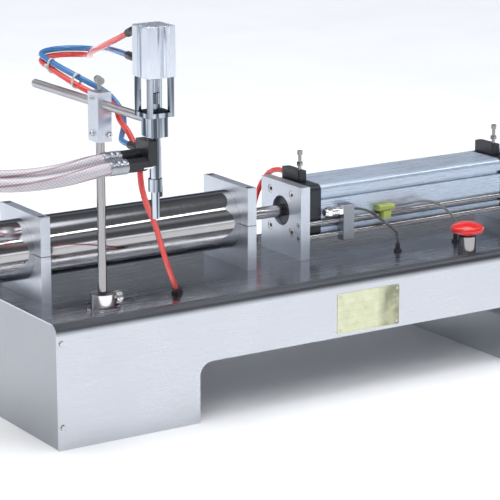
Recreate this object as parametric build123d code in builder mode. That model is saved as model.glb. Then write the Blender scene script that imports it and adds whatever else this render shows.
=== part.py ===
from build123d import *
import math
import os

# Piston liquid filler, millimetres, +Z up, +X along the cylinders, operator side facing -Y.
# Origin: the middle of the left foot's sole, on the floor.

os.makedirs("parts", exist_ok=True)

# ---------------------------------------------------------------- base
base_length = 1000
base_depth = 300
base_height = 176
sheet = 2
bend_radius = 12
foot_length = 225
arch_height = 88
arch_radius = 20
base_left = -foot_length / 2
base_right = base_left + base_length
base_front = -base_depth / 2
base_back = base_depth / 2
deck = base_height
panel_recess = 1
panel_flange = 16
sheet_gap = 0.2
sole_thickness = 3
panel_screw_size = 4
panel_screw_low = 32
panel_screw_high = 150
panel_screw_inset = 8

# ---------------------------------------------------------------- nameplate
plate_left = 345
plate_bottom = 93
plate_width = 110
plate_height = 60
plate_gauge = 1
rivet_diameter = 3

# ---------------------------------------------------------------- common axis of both cylinders
axis_y = 21
axis_height = 66
axis_z = deck + axis_height
rod_diameter = 18
running_gap = 0.05
moving_gap = 0.4
stroke = 300

# ---------------------------------------------------------------- metering cylinder and its clamps
tube_outer = 86
tube_wall = 5
tube_inner = tube_outer - 2 * tube_wall
tube_left = -172
clamp_thick = 15
clamp_width = 122
clamp_top = 56
clamp_split = 1.2
clamp_chamfer = 1.5
left_clamp_x = -76
right_clamp_x = 262
tube_right = right_clamp_x + clamp_thick
clamp_screw_size = 6
clamp_screw_spread = (tube_outer + clamp_width) / 4
head_flange = 18
head_spigot = 12
head_diameter = 104
gland_length = 22
gland_flange = 6
gland_diameter = 60

# ---------------------------------------------------------------- valve at the left end
valve_length = 84
valve_width = 60
valve_height = 64
valve_x = tube_left - head_flange - valve_length / 2
ball_diameter = 18
ball_seat = 13
ball_room = 22
ball_lift = 6
valve_passage = 16
spigot_diameter = 22
spigot_bore = 14
spigot_length = 40
spigot_nut = 34
manifold_length = 68
manifold_width = 44
manifold_height = 30
outlet_spacing = 26
outlet_angle = 45
outlet_nut_length = 24

# ---------------------------------------------------------------- air cylinder
mount_plate_x = 360
mount_plate_thick = 16
mount_plate_width = 107
mount_plate_top = 43.5
mount_plate_hole = 45
cap_length = 28
cap_size = 83
cap_corner = 9
barrel_length = 340
barrel_bore = 63
tie_spacing = 56.5
tie_screw_size = 8
groove_width = 6
groove_depth = 5
front_cap_x = mount_plate_x + mount_plate_thick
barrel_x = front_cap_x + cap_length
rear_cap_x = barrel_x + barrel_length
rear_plate_x = rear_cap_x + cap_length
boss_length = 10
boss_diameter = 44

# ---------------------------------------------------------------- pistons
piston_length = 30
piston_stand_off = 4
seal_width = 4
seal_depth = 3
rod_neck = 12
metering_piston_x = tube_left + head_spigot + piston_stand_off
air_piston_x = barrel_x + piston_stand_off + 1

# ---------------------------------------------------------------- switch rails
rail_diameter = 8
rail_y = axis_y - cap_size / 2 - 5
rail_upper = deck + 51
rail_lower = deck + 31
rail_bracket_x = 434.5
rail_bracket_length = 19
rail_bracket_height = 54
rail_block_depth = 7
switch_x = 501
switch_length = 28
switch_height = 9
switch_corner = 3
clip_inset = 7
home_switch_x = 404
home_switch_z = rail_upper + 15
home_switch_diameter = 12
home_switch_nut = 8.2
home_switch_nut_length = 7

# ---------------------------------------------------------------- speed controllers
controller_length = 50
controller_width = 15
controller_height = 17
needle_length = 30
needle_diameter = 5
needle_head = 10

# ---------------------------------------------------------------- stop button
button_x = 604.5
button_y = -118
button_head = 50
button_head_height = 16
button_neck = 27
button_neck_height = 23
button_gap = 6
button_stem = 14
button_shank = 22

# ---------------------------------------------------------------- nozzle post, bracket and arm
post_x = -14
post_y = -101
post_diameter = 12
post_top = deck + 268
post_bottom = deck - 40
flange_diameter = 48
flange_thick = 3
collar_diameter = 34
collar_height = 18
lock_knob_diameter = 17
lock_knob_length = 9
lock_screw_size = 6
bracket_width = 22
bracket_depth = 28
bracket_bottom = deck + 234
bracket_top = deck + 302
arm_diameter = 12
arm_z = deck + 285
arm_back = 86
wing_screw_size = 5.5
wing_top = deck + 322

# ---------------------------------------------------------------- nozzle head
nozzle_y = -247
block_width = 24
block_depth = 28
block_bottom = deck + 265
block_top = deck + 298
block_plate = 6
actuator_size = 42
actuator_bottom = deck + 343
actuator_height = 68
actuator_bore = 32
actuator_wall = 8
actuator_corner = 3
standoff_spacing = 31
standoff_diameter = 8.6
plug_rod_diameter = 7
plug_lift = 8
coupling_diameter = 13
nozzle_diameter = 14.5
nozzle_bore = 9
nozzle_bottom = deck + 209
tip_collar = 18.5
tip_collar_height = 17
tip_diameter = 11
tip_bore = 7
tip_bottom = deck + 155
inlet_length = 14
inlet_depth = 36
inlet_height = 32
inlet_top = block_bottom - 3
union_length = 28
union_diameter = 19
air_fitting_length = 28
air_fitting_diameter = 11

# ---------------------------------------------------------------- deck fittings
tube_diameter = 8
elbow_x = 111.5
elbow_y = -90
supply_elbow_x = 371
supply_elbow_y = 116
fitting_hexagon = 9
fitting_hexagon_height = 4
fitting_radius = 6
fitting_height = 10
lead_diameter = 4
grommet_diameter = 12
grommet_height = 3
switch_grommet_x = 626
switch_grommet_y = -62
home_grommet_x = 515
home_grommet_y = -64

# -------------------------------------------------- hoses, tubes and leads, with points chosen by hand
hose_diameter = 18
front_port = (-62.5, -256, deck + 232)
rear_port = (-62.5, -238, deck + 240)
manifold_z = deck + axis_height + valve_height / 2
outlet_reach = 38
front_outlet = (valve_x - outlet_spacing / 2, axis_y, manifold_z + manifold_height / 2)
rear_outlet = (valve_x + outlet_spacing / 2, axis_y, manifold_z + manifold_height / 2)

front_hose_points = [
    (-62.5, -256, deck + 232),
    (-100, -256, deck + 232),
    (-152, -254, deck + 224),
    (-204, -236, deck + 220),
    (-242, -192, deck + 217),
    (-257, -128, deck + 211),
    (-245, -45, deck + 179.1),
    (-245, -5.9, deck + 140),
]
rear_hose_points = [
    (-62.5, -238, deck + 240),
    (-98, -238, deck + 240),
    (-146, -236, deck + 232),
    (-190, -219, deck + 227),
    (-222, -181, deck + 223),
    (-234, -126, deck + 217),
    (-219, -50, deck + 184.1),
    (-219, -5.9, deck + 140),
]
red_tube_points = [
    (-24, -198, deck + 394),
    (-22, -164, deck + 381),
    (-16, -115, deck + 365),
    (-4, -68, deck + 351),
    (14, -22, deck + 338),
    (42, 22, deck + 328),
    (48, 59, deck + 324),
    (28, 79, deck + 323),
    (0, 79, deck + 322),
    (-20, 59, deck + 321),
    (-22, 25, deck + 316),
    (-21, -18, deck + 308),
    (-13, -52, deck + 298),
    (3, -79, deck + 288),
    (8, -110, deck + 280),
    (-8, -141, deck + 270),
    (-7, -172, deck + 254),
    (-10, -200, deck + 224),
    (-12, -206, deck + 190),
    (3, -197, deck + 158),
    (22, -183, deck + 132),
    (44, -161, deck + 95),
    (70, -135, deck + 54),
    (92, -113, deck + 23),
    (105, -97.4, deck + 11),
]
blue_tube_points = [
    (-24, -198, deck + 365),
    (-18, -164, deck + 364),
    (-5, -115, deck + 360),
    (12, -68, deck + 354),
    (29, -22, deck + 345),
    (47, 22, deck + 337),
    (48, 59, deck + 333),
    (28, 79, deck + 332),
    (0, 79, deck + 331),
    (-20, 59, deck + 330),
    (-21, 25, deck + 325),
    (-19, -18, deck + 318),
    (-8, -52, deck + 308),
    (12, -79, deck + 294),
    (18, -108, deck + 272),
    (5, -134, deck + 258),
    (-14, -160, deck + 250),
    (-28, -184, deck + 248),
    (-28, -207, deck + 248),
]
supply_tube_points = [
    (390.5, 56, deck + 116),
    (390.5, 80, deck + 116),
    (388, 106, deck + 102),
    (379, 116, deck + 74),
    (371, 116, deck + 46),
    (371, 116, deck + 22),
]
switch_lead_points = [
    (529, -30, deck + 61.5),
    (553, -30, deck + 61.5),
    (582, -38, deck + 66),
    (606, -49, deck + 58),
    (624, -60, deck + 38),
    (626, -62, deck + 30),
    (626, -62, deck + 12),
]
home_lead_points = [
    (453.5, -28.7, deck + 66),
    (465, -28.7, deck + 66),
    (479, -40, deck + 62),
    (496, -44, deck + 48),
    (508, -52, deck + 38),
    (515, -64, deck + 28),
    (515, -64, deck + 12),
]


def cord(points, diameter):
    """Round bar along straight runs joined by tangent arcs as wide as the runs allow."""
    route = [Vector(*point) for point in points]
    radii = []
    for before, corner, after in zip(route, route[1:], route[2:]):
        run_in = corner - before
        run_out = after - corner
        half_turn = math.radians(run_in.get_angle(run_out)) / 2
        radii.append(0.45 * min(run_in.length, run_out.length) / math.tan(half_turn))
    with BuildPart() as bar:
        with BuildLine() as line:
            FilletPolyline(*route, radius=radii)
        with BuildSketch(Plane(origin=route[0], z_dir=route[1] - route[0])):
            Circle(diameter / 2)
        sweep()
    length = sum(edge.length for edge in line.edges())
    solid_ratio = bar.part.volume / (math.pi * (diameter / 2) ** 2 * length)
    print("radii", [round(radius) for radius in radii])
    print("length", round(length, 1), "volume over section times length", round(solid_ratio, 4))
    return bar


def frame_at(x, y, z, direction):
    """A plane at a point, with its normal along the direction."""
    return Plane(origin=(x, y, z), z_dir=direction)


def section_at(x, y, z):
    """A plane across +X at a point, with its x direction along +Y."""
    return Plane(origin=(x, y, z), x_dir=(0, 1, 0), z_dir=(1, 0, 0))


# ================================================================ base
arch_left = base_left + foot_length
arch_right = base_right - foot_length
with BuildPart() as base_shell:
    with BuildSketch(Plane.YZ.offset(base_left)):
        with BuildLine():
            Polyline(
                (base_front, 0),
                (base_front, deck),
                (base_back, deck),
                (base_back, 0),
                (base_front, 0),
            )
        make_face()
        fillet(vertices().group_by(Axis.Y)[-1], bend_radius)
        with BuildSketch(mode=Mode.PRIVATE) as hollow:
            with BuildLine():
                Polyline(
                    (base_front + sheet, 0),
                    (base_front + sheet, deck - sheet),
                    (base_back - sheet, deck - sheet),
                    (base_back - sheet, 0),
                    (base_front + sheet, 0),
                )
            make_face()
            fillet(hollow.vertices().group_by(Axis.Y)[-1], bend_radius - sheet)
        add(hollow.sketch, mode=Mode.SUBTRACT)
    extrude(amount=base_length)
    with BuildSketch(Plane.XZ.offset(-base_back)):
        with BuildLine():
            Polyline(
                (arch_left, 0),
                (arch_left, arch_height),
                (arch_right, arch_height),
                (arch_right, 0),
                (arch_left, 0),
            )
        make_face()
        fillet(vertices().group_by(Axis.Y)[-1], arch_radius)
    extrude(amount=base_depth, mode=Mode.SUBTRACT)
    with BuildSketch(Plane.XY.offset(deck - sheet)):
        with Locations((post_x, post_y)):
            Circle(post_diameter / 2 + 1)
        with Locations((button_x, button_y)):
            Circle(button_shank / 2)
    extrude(amount=sheet, mode=Mode.SUBTRACT)
    with BuildSketch(Plane.XZ.offset(-base_back)):
        for screw_x in (base_left + panel_screw_inset, base_right - panel_screw_inset):
            with Locations((screw_x, panel_screw_low), (screw_x, panel_screw_high)):
                Circle(panel_screw_size / 2)
    extrude(amount=base_depth, mode=Mode.SUBTRACT)
base_shell.part.label = "base_shell"
export_step(base_shell.part, "parts/base_shell.step")

# End panels: trays with a flange on every side, let in between the bends of the shell.
tray_front = base_front + sheet + sheet_gap
tray_back = base_back - sheet - sheet_gap
tray_top = deck - sheet - sheet_gap
tray_radius = bend_radius - sheet
for end_name, face_x, inward in (
    ("left_end_panel", base_left + panel_recess, 1),
    ("right_end_panel", base_right - panel_recess, -1),
):
    with BuildPart() as end_panel:
        with BuildSketch(Plane.YZ.offset(face_x)):
            with BuildLine():
                Polyline(
                    (tray_front, sheet_gap),
                    (tray_front, tray_top),
                    (tray_back, tray_top),
                    (tray_back, sheet_gap),
                    (tray_front, sheet_gap),
                )
            make_face()
            fillet(vertices().group_by(Axis.Y)[-1], tray_radius)
        extrude(amount=inward * panel_flange)
        with BuildSketch(Plane.YZ.offset(face_x + inward * sheet)):
            with BuildLine():
                Polyline(
                    (tray_front + sheet, sheet_gap),
                    (tray_front + sheet, tray_top - sheet),
                    (tray_back - sheet, tray_top - sheet),
                    (tray_back - sheet, sheet_gap),
                    (tray_front + sheet, sheet_gap),
                )
            make_face()
            fillet(vertices().group_by(Axis.Y)[-1], tray_radius - sheet)
        extrude(amount=inward * panel_flange, mode=Mode.SUBTRACT)
        with BuildSketch(Plane.XZ.offset(-base_back)):
            screw_x = face_x - inward * panel_recess + inward * panel_screw_inset
            with Locations((screw_x, panel_screw_low), (screw_x, panel_screw_high)):
                Circle(panel_screw_size / 2)
        extrude(amount=base_depth, mode=Mode.SUBTRACT)
    end_panel.part.label = end_name
    export_step(end_panel.part, f"parts/{end_name}.step")

# Sole plates close the two feet at floor level.
liner_side = sheet
sole_length = foot_length - liner_side - panel_recess - panel_flange - 2 * sheet_gap
with BuildPart() as foot_soles:
    with BuildSketch(Plane.XY):
        for sole_left in (
            base_left + panel_recess + panel_flange + sheet_gap,
            arch_right + liner_side + sheet_gap,
        ):
            with Locations((sole_left + sole_length / 2, 0)):
                Rectangle(sole_length, tray_back - tray_front)
    extrude(amount=sole_thickness)
foot_soles.part.label = "foot_soles"
export_step(foot_soles.part, "parts/foot_soles.step")

# Liner: one bent sheet that closes the inner sides of the feet and the underside of the beam.
with BuildPart() as arch_liner:
    with BuildSketch(Plane.XZ.offset(-tray_back)):
        with BuildLine():
            Polyline(
                (arch_left - sheet, 0),
                (arch_left - sheet, arch_height + sheet),
                (arch_right + sheet, arch_height + sheet),
                (arch_right + sheet, 0),
                (arch_left - sheet, 0),
            )
        make_face()
        fillet(vertices().group_by(Axis.Y)[-1], arch_radius + sheet)
        with BuildSketch(mode=Mode.PRIVATE) as arch_opening:
            with BuildLine():
                Polyline(
                    (arch_left, 0),
                    (arch_left, arch_height),
                    (arch_right, arch_height),
                    (arch_right, 0),
                    (arch_left, 0),
                )
            make_face()
            fillet(arch_opening.vertices().group_by(Axis.Y)[-1], arch_radius)
        add(arch_opening.sketch, mode=Mode.SUBTRACT)
    extrude(amount=tray_back - tray_front)
arch_liner.part.label = "arch_liner"
export_step(arch_liner.part, "parts/arch_liner.step")

# Pan-head screws that hold the end panels, and the rivets of the nameplate.
rivet_inset = 5
with BuildPart() as panel_screws:
    for screw_x in (base_left + panel_screw_inset, base_right - panel_screw_inset):
        for screw_z in (panel_screw_low, panel_screw_high):
            for face_y, outward in ((base_front, -1), (base_back, 1)):
                with BuildSketch(frame_at(screw_x, face_y, screw_z, (0, outward, 0))):
                    Circle(panel_screw_size)
                extrude(amount=panel_screw_size / 2)
                with BuildSketch(frame_at(screw_x, face_y, screw_z, (0, -outward, 0))):
                    Circle(panel_screw_size / 2)
                extrude(amount=3 * sheet)
    for rivet_x in (plate_left + rivet_inset, plate_left + plate_width - rivet_inset):
        for rivet_z in (plate_bottom + rivet_inset, plate_bottom + plate_height - rivet_inset):
            with BuildSketch(frame_at(rivet_x, base_front - plate_gauge, rivet_z, (0, -1, 0))):
                Circle(rivet_diameter / 2)
            extrude(amount=plate_gauge)
panel_screws.part.label = "panel_screws"
export_step(panel_screws.part, "parts/panel_screws.step")

with BuildPart() as nameplate:
    with BuildSketch(Plane.XZ.offset(-base_front)):
        with Locations((plate_left + plate_width / 2, plate_bottom + plate_height / 2)):
            RectangleRounded(plate_width, plate_height, 2)
    extrude(amount=plate_gauge)
nameplate.part.label = "nameplate"
export_step(nameplate.part, "parts/nameplate.step")

# ================================================================ clamps of the metering cylinder
clamp_screw_head = 1.6 * clamp_screw_size
for side, clamp_x in (("left", left_clamp_x), ("right", right_clamp_x)):
    clamp_plane = section_at(clamp_x, axis_y, axis_z)
    with BuildPart() as clamp_lower:
        with BuildSketch(clamp_plane):
            with Locations((0, -(axis_height + clamp_split / 2) / 2)):
                Rectangle(clamp_width, axis_height - clamp_split / 2)
            Circle(tube_outer / 2 + running_gap, mode=Mode.SUBTRACT)
        extrude(amount=clamp_thick)
        with BuildSketch(Plane.XY.offset(axis_z)):
            with Locations((clamp_x + clamp_thick / 2, axis_y)):
                with GridLocations(0, 2 * clamp_screw_spread, 1, 2):
                    Circle(clamp_screw_size / 2)
        extrude(amount=-axis_height / 2, mode=Mode.SUBTRACT)
    clamp_lower.part.label = f"{side}_clamp_lower"
    export_step(clamp_lower.part, f"parts/{side}_clamp_lower.step")

    with BuildPart() as clamp_upper:
        with BuildSketch(clamp_plane):
            with Locations((0, (clamp_top + clamp_split / 2) / 2)):
                Rectangle(clamp_width, clamp_top - clamp_split / 2)
            Circle(tube_outer / 2 + running_gap, mode=Mode.SUBTRACT)
            fillet(vertices().group_by(Axis.Y)[-1], clamp_chamfer)
        extrude(amount=clamp_thick)
        with BuildSketch(Plane.XY.offset(axis_z)):
            with Locations((clamp_x + clamp_thick / 2, axis_y)):
                with GridLocations(0, 2 * clamp_screw_spread, 1, 2):
                    Circle(clamp_screw_size / 2)
        extrude(amount=clamp_top, mode=Mode.SUBTRACT)
        with BuildSketch(Plane.XY.offset(axis_z + clamp_top)):
            with Locations((clamp_x + clamp_thick / 2, axis_y)):
                with GridLocations(0, 2 * clamp_screw_spread, 1, 2):
                    Circle(clamp_screw_head / 2 + moving_gap)
        extrude(amount=-clamp_screw_size, mode=Mode.SUBTRACT)
    clamp_upper.part.label = f"{side}_clamp_upper"
    export_step(clamp_upper.part, f"parts/{side}_clamp_upper.step")

with BuildPart() as clamp_screws:
    for clamp_x in (left_clamp_x, right_clamp_x):
        for screw_y in (axis_y - clamp_screw_spread, axis_y + clamp_screw_spread):
            seat_z = axis_z + clamp_top - clamp_screw_size
            with BuildSketch(frame_at(clamp_x + clamp_thick / 2, screw_y, seat_z, (0, 0, 1))):
                Circle(clamp_screw_head / 2)
                RegularPolygon(clamp_screw_size / 2, 6, mode=Mode.SUBTRACT)
            extrude(amount=clamp_screw_size * 0.9)
            with BuildSketch(frame_at(clamp_x + clamp_thick / 2, screw_y, seat_z + 2, (0, 0, -1))):
                Circle(clamp_screw_size / 2)
            extrude(amount=clamp_top + axis_height / 4)
clamp_screws.part.label = "clamp_screws"
export_step(clamp_screws.part, "parts/clamp_screws.step")

# ================================================================ metering cylinder
with BuildPart() as metering_tube:
    with BuildSketch(frame_at(tube_left, axis_y, axis_z, (1, 0, 0))):
        Circle(tube_outer / 2)
        Circle(tube_inner / 2, mode=Mode.SUBTRACT)
    extrude(amount=tube_right - tube_left)
metering_tube.part.label = "metering_tube"
export_step(metering_tube.part, "parts/metering_tube.step")

with BuildPart() as tube_left_head:
    with BuildSketch(frame_at(tube_left, axis_y, axis_z, (-1, 0, 0))):
        Circle(head_diameter / 2)
    extrude(amount=head_flange)
    with BuildSketch(frame_at(tube_left, axis_y, axis_z, (1, 0, 0))):
        Circle(tube_inner / 2)
    extrude(amount=head_spigot)
    with BuildSketch(frame_at(tube_left - head_flange, axis_y, axis_z, (1, 0, 0))):
        Circle(valve_passage / 2)
    extrude(amount=head_flange + head_spigot, mode=Mode.SUBTRACT)
    chamfer(edges().filter_by(GeomType.CIRCLE).sort_by(SortBy.RADIUS)[-2:], 1.5)
tube_left_head.part.label = "tube_left_head"
export_step(tube_left_head.part, "parts/tube_left_head.step")

with BuildPart() as rod_gland:
    with BuildSketch(frame_at(tube_right, axis_y, axis_z, (-1, 0, 0))):
        Circle(tube_inner / 2)
        Circle(rod_diameter / 2 + running_gap, mode=Mode.SUBTRACT)
    extrude(amount=gland_length)
    with BuildSketch(frame_at(tube_right, axis_y, axis_z, (1, 0, 0))):
        Circle(gland_diameter / 2)
        Circle(rod_diameter / 2 + running_gap, mode=Mode.SUBTRACT)
    extrude(amount=gland_flange)
    chamfer(edges().filter_by(GeomType.CIRCLE).group_by(Axis.X)[-1].sort_by(SortBy.RADIUS)[-1], 1)
rod_gland.part.label = "rod_gland"
export_step(rod_gland.part, "parts/rod_gland.step")

# ================================================================ valve at the left end
valve_right = tube_left - head_flange
lower_seat_z = axis_z - valve_passage
upper_seat_z = axis_z + valve_passage / 2
with BuildPart() as valve_body:
    with BuildSketch(frame_at(valve_right, axis_y, axis_z, (-1, 0, 0))):
        RectangleRounded(valve_height, valve_width, 4)
    extrude(amount=valve_length)
    with BuildSketch(frame_at(valve_right, axis_y, axis_z, (-1, 0, 0))):
        Circle(valve_passage / 2)
    extrude(amount=valve_length / 2, mode=Mode.SUBTRACT)
    with BuildSketch(Plane.XY.offset(axis_z - valve_height / 2)):
        with Locations((valve_x, axis_y)):
            Circle(ball_seat / 2)
    extrude(amount=valve_height, mode=Mode.SUBTRACT)
    with BuildSketch(Plane.XY.offset(axis_z - valve_height / 4)):
        with Locations((valve_x, axis_y)):
            Circle(ball_room / 2)
    extrude(amount=valve_height / 4 + valve_passage / 2, mode=Mode.SUBTRACT)
    with BuildSketch(Plane.XY.offset(axis_z + valve_height / 4)):
        with Locations((valve_x, axis_y)):
            Circle(ball_room / 2)
    extrude(amount=valve_height / 4, mode=Mode.SUBTRACT)
valve_body.part.label = "valve_body"
export_step(valve_body.part, "parts/valve_body.step")

with BuildPart() as suction_spigot:
    with BuildSketch(frame_at(valve_x, axis_y, axis_z - valve_height / 2, (0, 0, -1))):
        RegularPolygon(spigot_nut / 2, 6)
        Circle(spigot_bore / 2, mode=Mode.SUBTRACT)
    extrude(amount=spigot_diameter / 2)
    with BuildSketch(frame_at(valve_x, axis_y, axis_z - valve_height / 2, (0, 0, -1))):
        Circle(spigot_diameter / 2)
        Circle(spigot_bore / 2, mode=Mode.SUBTRACT)
    extrude(amount=spigot_diameter / 2 + spigot_length)
suction_spigot.part.label = "suction_spigot"
export_step(suction_spigot.part, "parts/suction_spigot.step")

outlet_direction = Vector(0, -math.cos(math.radians(outlet_angle)), math.sin(math.radians(outlet_angle)))
with BuildPart() as outlet_manifold:
    with BuildSketch(Plane.XY.offset(manifold_z)):
        with Locations((valve_x, axis_y)):
            RectangleRounded(manifold_length, manifold_width, 4)
    extrude(amount=manifold_height)
    for outlet in (front_outlet, rear_outlet):
        with BuildSketch(Plane(origin=outlet, z_dir=outlet_direction)):
            Circle(hose_diameter / 2 + 2)
        extrude(amount=outlet_reach)
    with BuildSketch(Plane.XY.offset(manifold_z)):
        with Locations((valve_x, axis_y)):
            Circle(ball_room / 2)
    extrude(amount=manifold_height / 2, mode=Mode.SUBTRACT)
outlet_manifold.part.label = "outlet_manifold"
export_step(outlet_manifold.part, "parts/outlet_manifold.step")

# A ball rests on the rim of its seat, so its centre stands this far above the rim.
ball_radius = ball_diameter / 2
seat_rise = math.sqrt(ball_radius**2 - (ball_seat / 2) ** 2)
ball_clearance = 0.02
for ball_name, seat_z in (
    ("inlet_ball", axis_z - valve_height / 4),
    ("outlet_ball", axis_z + valve_height / 4),
):
    with BuildPart() as ball:
        with Locations((valve_x, axis_y, seat_z + seat_rise + ball_clearance)):
            Sphere(ball_radius)
    ball.part.label = ball_name
    export_step(ball.part, f"parts/{ball_name}.step")

# ================================================================ air cylinder
# Both mounting plates are counterbored on their outer faces for the socket screws.
tie_head = 1.6 * tie_screw_size
tie_seat = tie_screw_size + 0.6
rail_screw = rail_diameter / 2
rail_screw_seat = rail_screw + 0.6
rail_screw_reach = 8
for plate_name, plate_x, outer_x, inward in (
    ("front_mount_plate", mount_plate_x, mount_plate_x, 1),
    ("rear_mount_plate", rear_plate_x, rear_plate_x + mount_plate_thick, -1),
):
    with BuildPart() as mount_plate:
        with BuildSketch(section_at(plate_x, axis_y, axis_z)):
            with Locations((0, (mount_plate_top - axis_height) / 2)):
                Rectangle(mount_plate_width, mount_plate_top + axis_height)
            Circle(mount_plate_hole / 2, mode=Mode.SUBTRACT)
            with GridLocations(tie_spacing, tie_spacing, 2, 2):
                Circle(tie_screw_size / 2, mode=Mode.SUBTRACT)
            with Locations((rail_y - axis_y, rail_upper - axis_z), (rail_y - axis_y, rail_lower - axis_z)):
                Circle(rail_screw / 2, mode=Mode.SUBTRACT)
        extrude(amount=mount_plate_thick)
        with BuildSketch(frame_at(outer_x, axis_y, axis_z, (inward, 0, 0))):
            with GridLocations(tie_spacing, tie_spacing, 2, 2):
                Circle(tie_head / 2 + moving_gap)
        extrude(amount=tie_seat, mode=Mode.SUBTRACT)
        for rail_z in (rail_upper, rail_lower):
            with BuildSketch(frame_at(outer_x, rail_y, rail_z, (inward, 0, 0))):
                Circle(rail_diameter / 2 + moving_gap)
            extrude(amount=rail_screw_seat, mode=Mode.SUBTRACT)
    mount_plate.part.label = plate_name
    export_step(mount_plate.part, f"parts/{plate_name}.step")

# Socket screws: four into each end cap, one into each rail end, all with their heads sunk in.
socket_floor = 2
with BuildPart() as mount_plate_screws:
    for outer_x, inward in ((mount_plate_x, 1), (rear_plate_x + mount_plate_thick, -1)):
        seat_x = outer_x + inward * tie_seat
        for dy in (-tie_spacing / 2, tie_spacing / 2):
            for dz in (-tie_spacing / 2, tie_spacing / 2):
                with BuildSketch(frame_at(seat_x, axis_y + dy, axis_z + dz, (-inward, 0, 0))):
                    Circle(tie_head / 2)
                    RegularPolygon(tie_screw_size / 2.4, 6, mode=Mode.SUBTRACT)
                extrude(amount=tie_screw_size)
                shank_x = seat_x - inward * socket_floor
                with BuildSketch(frame_at(shank_x, axis_y + dy, axis_z + dz, (inward, 0, 0))):
                    Circle(tie_screw_size / 2)
                extrude(amount=socket_floor + mount_plate_thick - tie_seat + cap_length / 2 - 3)
        seat_x = outer_x + inward * rail_screw_seat
        for rail_z in (rail_upper, rail_lower):
            with BuildSketch(frame_at(seat_x, rail_y, rail_z, (-inward, 0, 0))):
                Circle(rail_diameter / 2)
                RegularPolygon(rail_screw / 2, 6, mode=Mode.SUBTRACT)
            extrude(amount=rail_screw)
            with BuildSketch(frame_at(seat_x - inward, rail_y, rail_z, (inward, 0, 0))):
                Circle(rail_screw / 2)
            extrude(amount=mount_plate_thick + 1 - rail_screw_seat + rail_screw_reach)
mount_plate_screws.part.label = "mount_plate_screws"
export_step(mount_plate_screws.part, "parts/mount_plate_screws.step")

for cap_name, cap_x, plate_side in (
    ("front_end_cap", front_cap_x, -1),
    ("rear_end_cap", rear_cap_x, 1),
):
    outer_face_x = cap_x if plate_side < 0 else cap_x + cap_length
    with BuildPart() as end_cap:
        with BuildSketch(section_at(cap_x, axis_y, axis_z)):
            RectangleRounded(cap_size, cap_size, cap_corner)
        extrude(amount=cap_length)
        with BuildSketch(frame_at(outer_face_x, axis_y, axis_z, (plate_side, 0, 0))):
            Circle(boss_diameter / 2)
        extrude(amount=boss_length)
        with BuildSketch(frame_at(outer_face_x, axis_y, axis_z, (-plate_side, 0, 0))):
            with GridLocations(tie_spacing, tie_spacing, 2, 2):
                Circle(tie_screw_size / 2)
        extrude(amount=cap_length / 2, mode=Mode.SUBTRACT)
        if plate_side < 0:
            with BuildSketch(frame_at(cap_x - boss_length, axis_y, axis_z, (1, 0, 0))):
                Circle(rod_diameter / 2 + running_gap)
            extrude(amount=cap_length + boss_length, mode=Mode.SUBTRACT)
    end_cap.part.label = cap_name
    export_step(end_cap.part, f"parts/{cap_name}.step")

with BuildPart() as cylinder_barrel:
    with BuildSketch(section_at(barrel_x, axis_y, axis_z)):
        RectangleRounded(cap_size, cap_size, cap_corner)
        Circle(barrel_bore / 2, mode=Mode.SUBTRACT)
        for groove_offset in (-cap_size / 4, cap_size / 4):
            with Locations(((groove_depth - cap_size) / 2, groove_offset)):
                Rectangle(groove_depth, groove_width, mode=Mode.SUBTRACT)
            with Locations(((cap_size - groove_depth) / 2, groove_offset)):
                Rectangle(groove_depth, groove_width, mode=Mode.SUBTRACT)
    extrude(amount=barrel_length)
cylinder_barrel.part.label = "cylinder_barrel"
export_step(cylinder_barrel.part, "parts/cylinder_barrel.step")

# ================================================================ rod and pistons
with BuildPart() as piston_rod:
    with BuildSketch(frame_at(metering_piston_x, axis_y, axis_z, (1, 0, 0))):
        Circle(rod_neck / 2)
    extrude(amount=piston_length)
    with BuildSketch(frame_at(metering_piston_x + piston_length, axis_y, axis_z, (1, 0, 0))):
        Circle(rod_diameter / 2)
    extrude(amount=air_piston_x - metering_piston_x - piston_length)
    with BuildSketch(frame_at(air_piston_x, axis_y, axis_z, (1, 0, 0))):
        Circle(rod_neck / 2)
    extrude(amount=piston_length)
piston_rod.part.label = "piston_rod"
export_step(piston_rod.part, "parts/piston_rod.step")

for piston_name, piston_x, bore in (
    ("metering_piston", metering_piston_x, tube_inner),
    ("air_piston", air_piston_x, barrel_bore),
):
    with BuildPart() as piston:
        with BuildSketch(frame_at(piston_x, axis_y, axis_z, (1, 0, 0))):
            Circle(bore / 2 - moving_gap)
            Circle(rod_neck / 2, mode=Mode.SUBTRACT)
        extrude(amount=piston_length)
        for seal_share in (0.25, 0.75):
            seal_x = piston_x + seal_share * piston_length - seal_width / 2
            with BuildSketch(frame_at(seal_x, axis_y, axis_z, (1, 0, 0))):
                Circle(bore / 2)
                Circle(bore / 2 - seal_depth, mode=Mode.SUBTRACT)
            extrude(amount=seal_width, mode=Mode.SUBTRACT)
    piston.part.label = piston_name
    export_step(piston.part, f"parts/{piston_name}.step")

with BuildPart() as piston_seals:
    for piston_x, bore in ((metering_piston_x, tube_inner), (air_piston_x, barrel_bore)):
        for seal_share in (0.25, 0.75):
            seal_x = piston_x + seal_share * piston_length - seal_width / 2
            with BuildSketch(frame_at(seal_x, axis_y, axis_z, (1, 0, 0))):
                Circle(bore / 2 - running_gap)
                Circle(bore / 2 - seal_depth, mode=Mode.SUBTRACT)
            extrude(amount=seal_width)
piston_seals.part.label = "piston_seals"
export_step(piston_seals.part, "parts/piston_seals.step")

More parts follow.
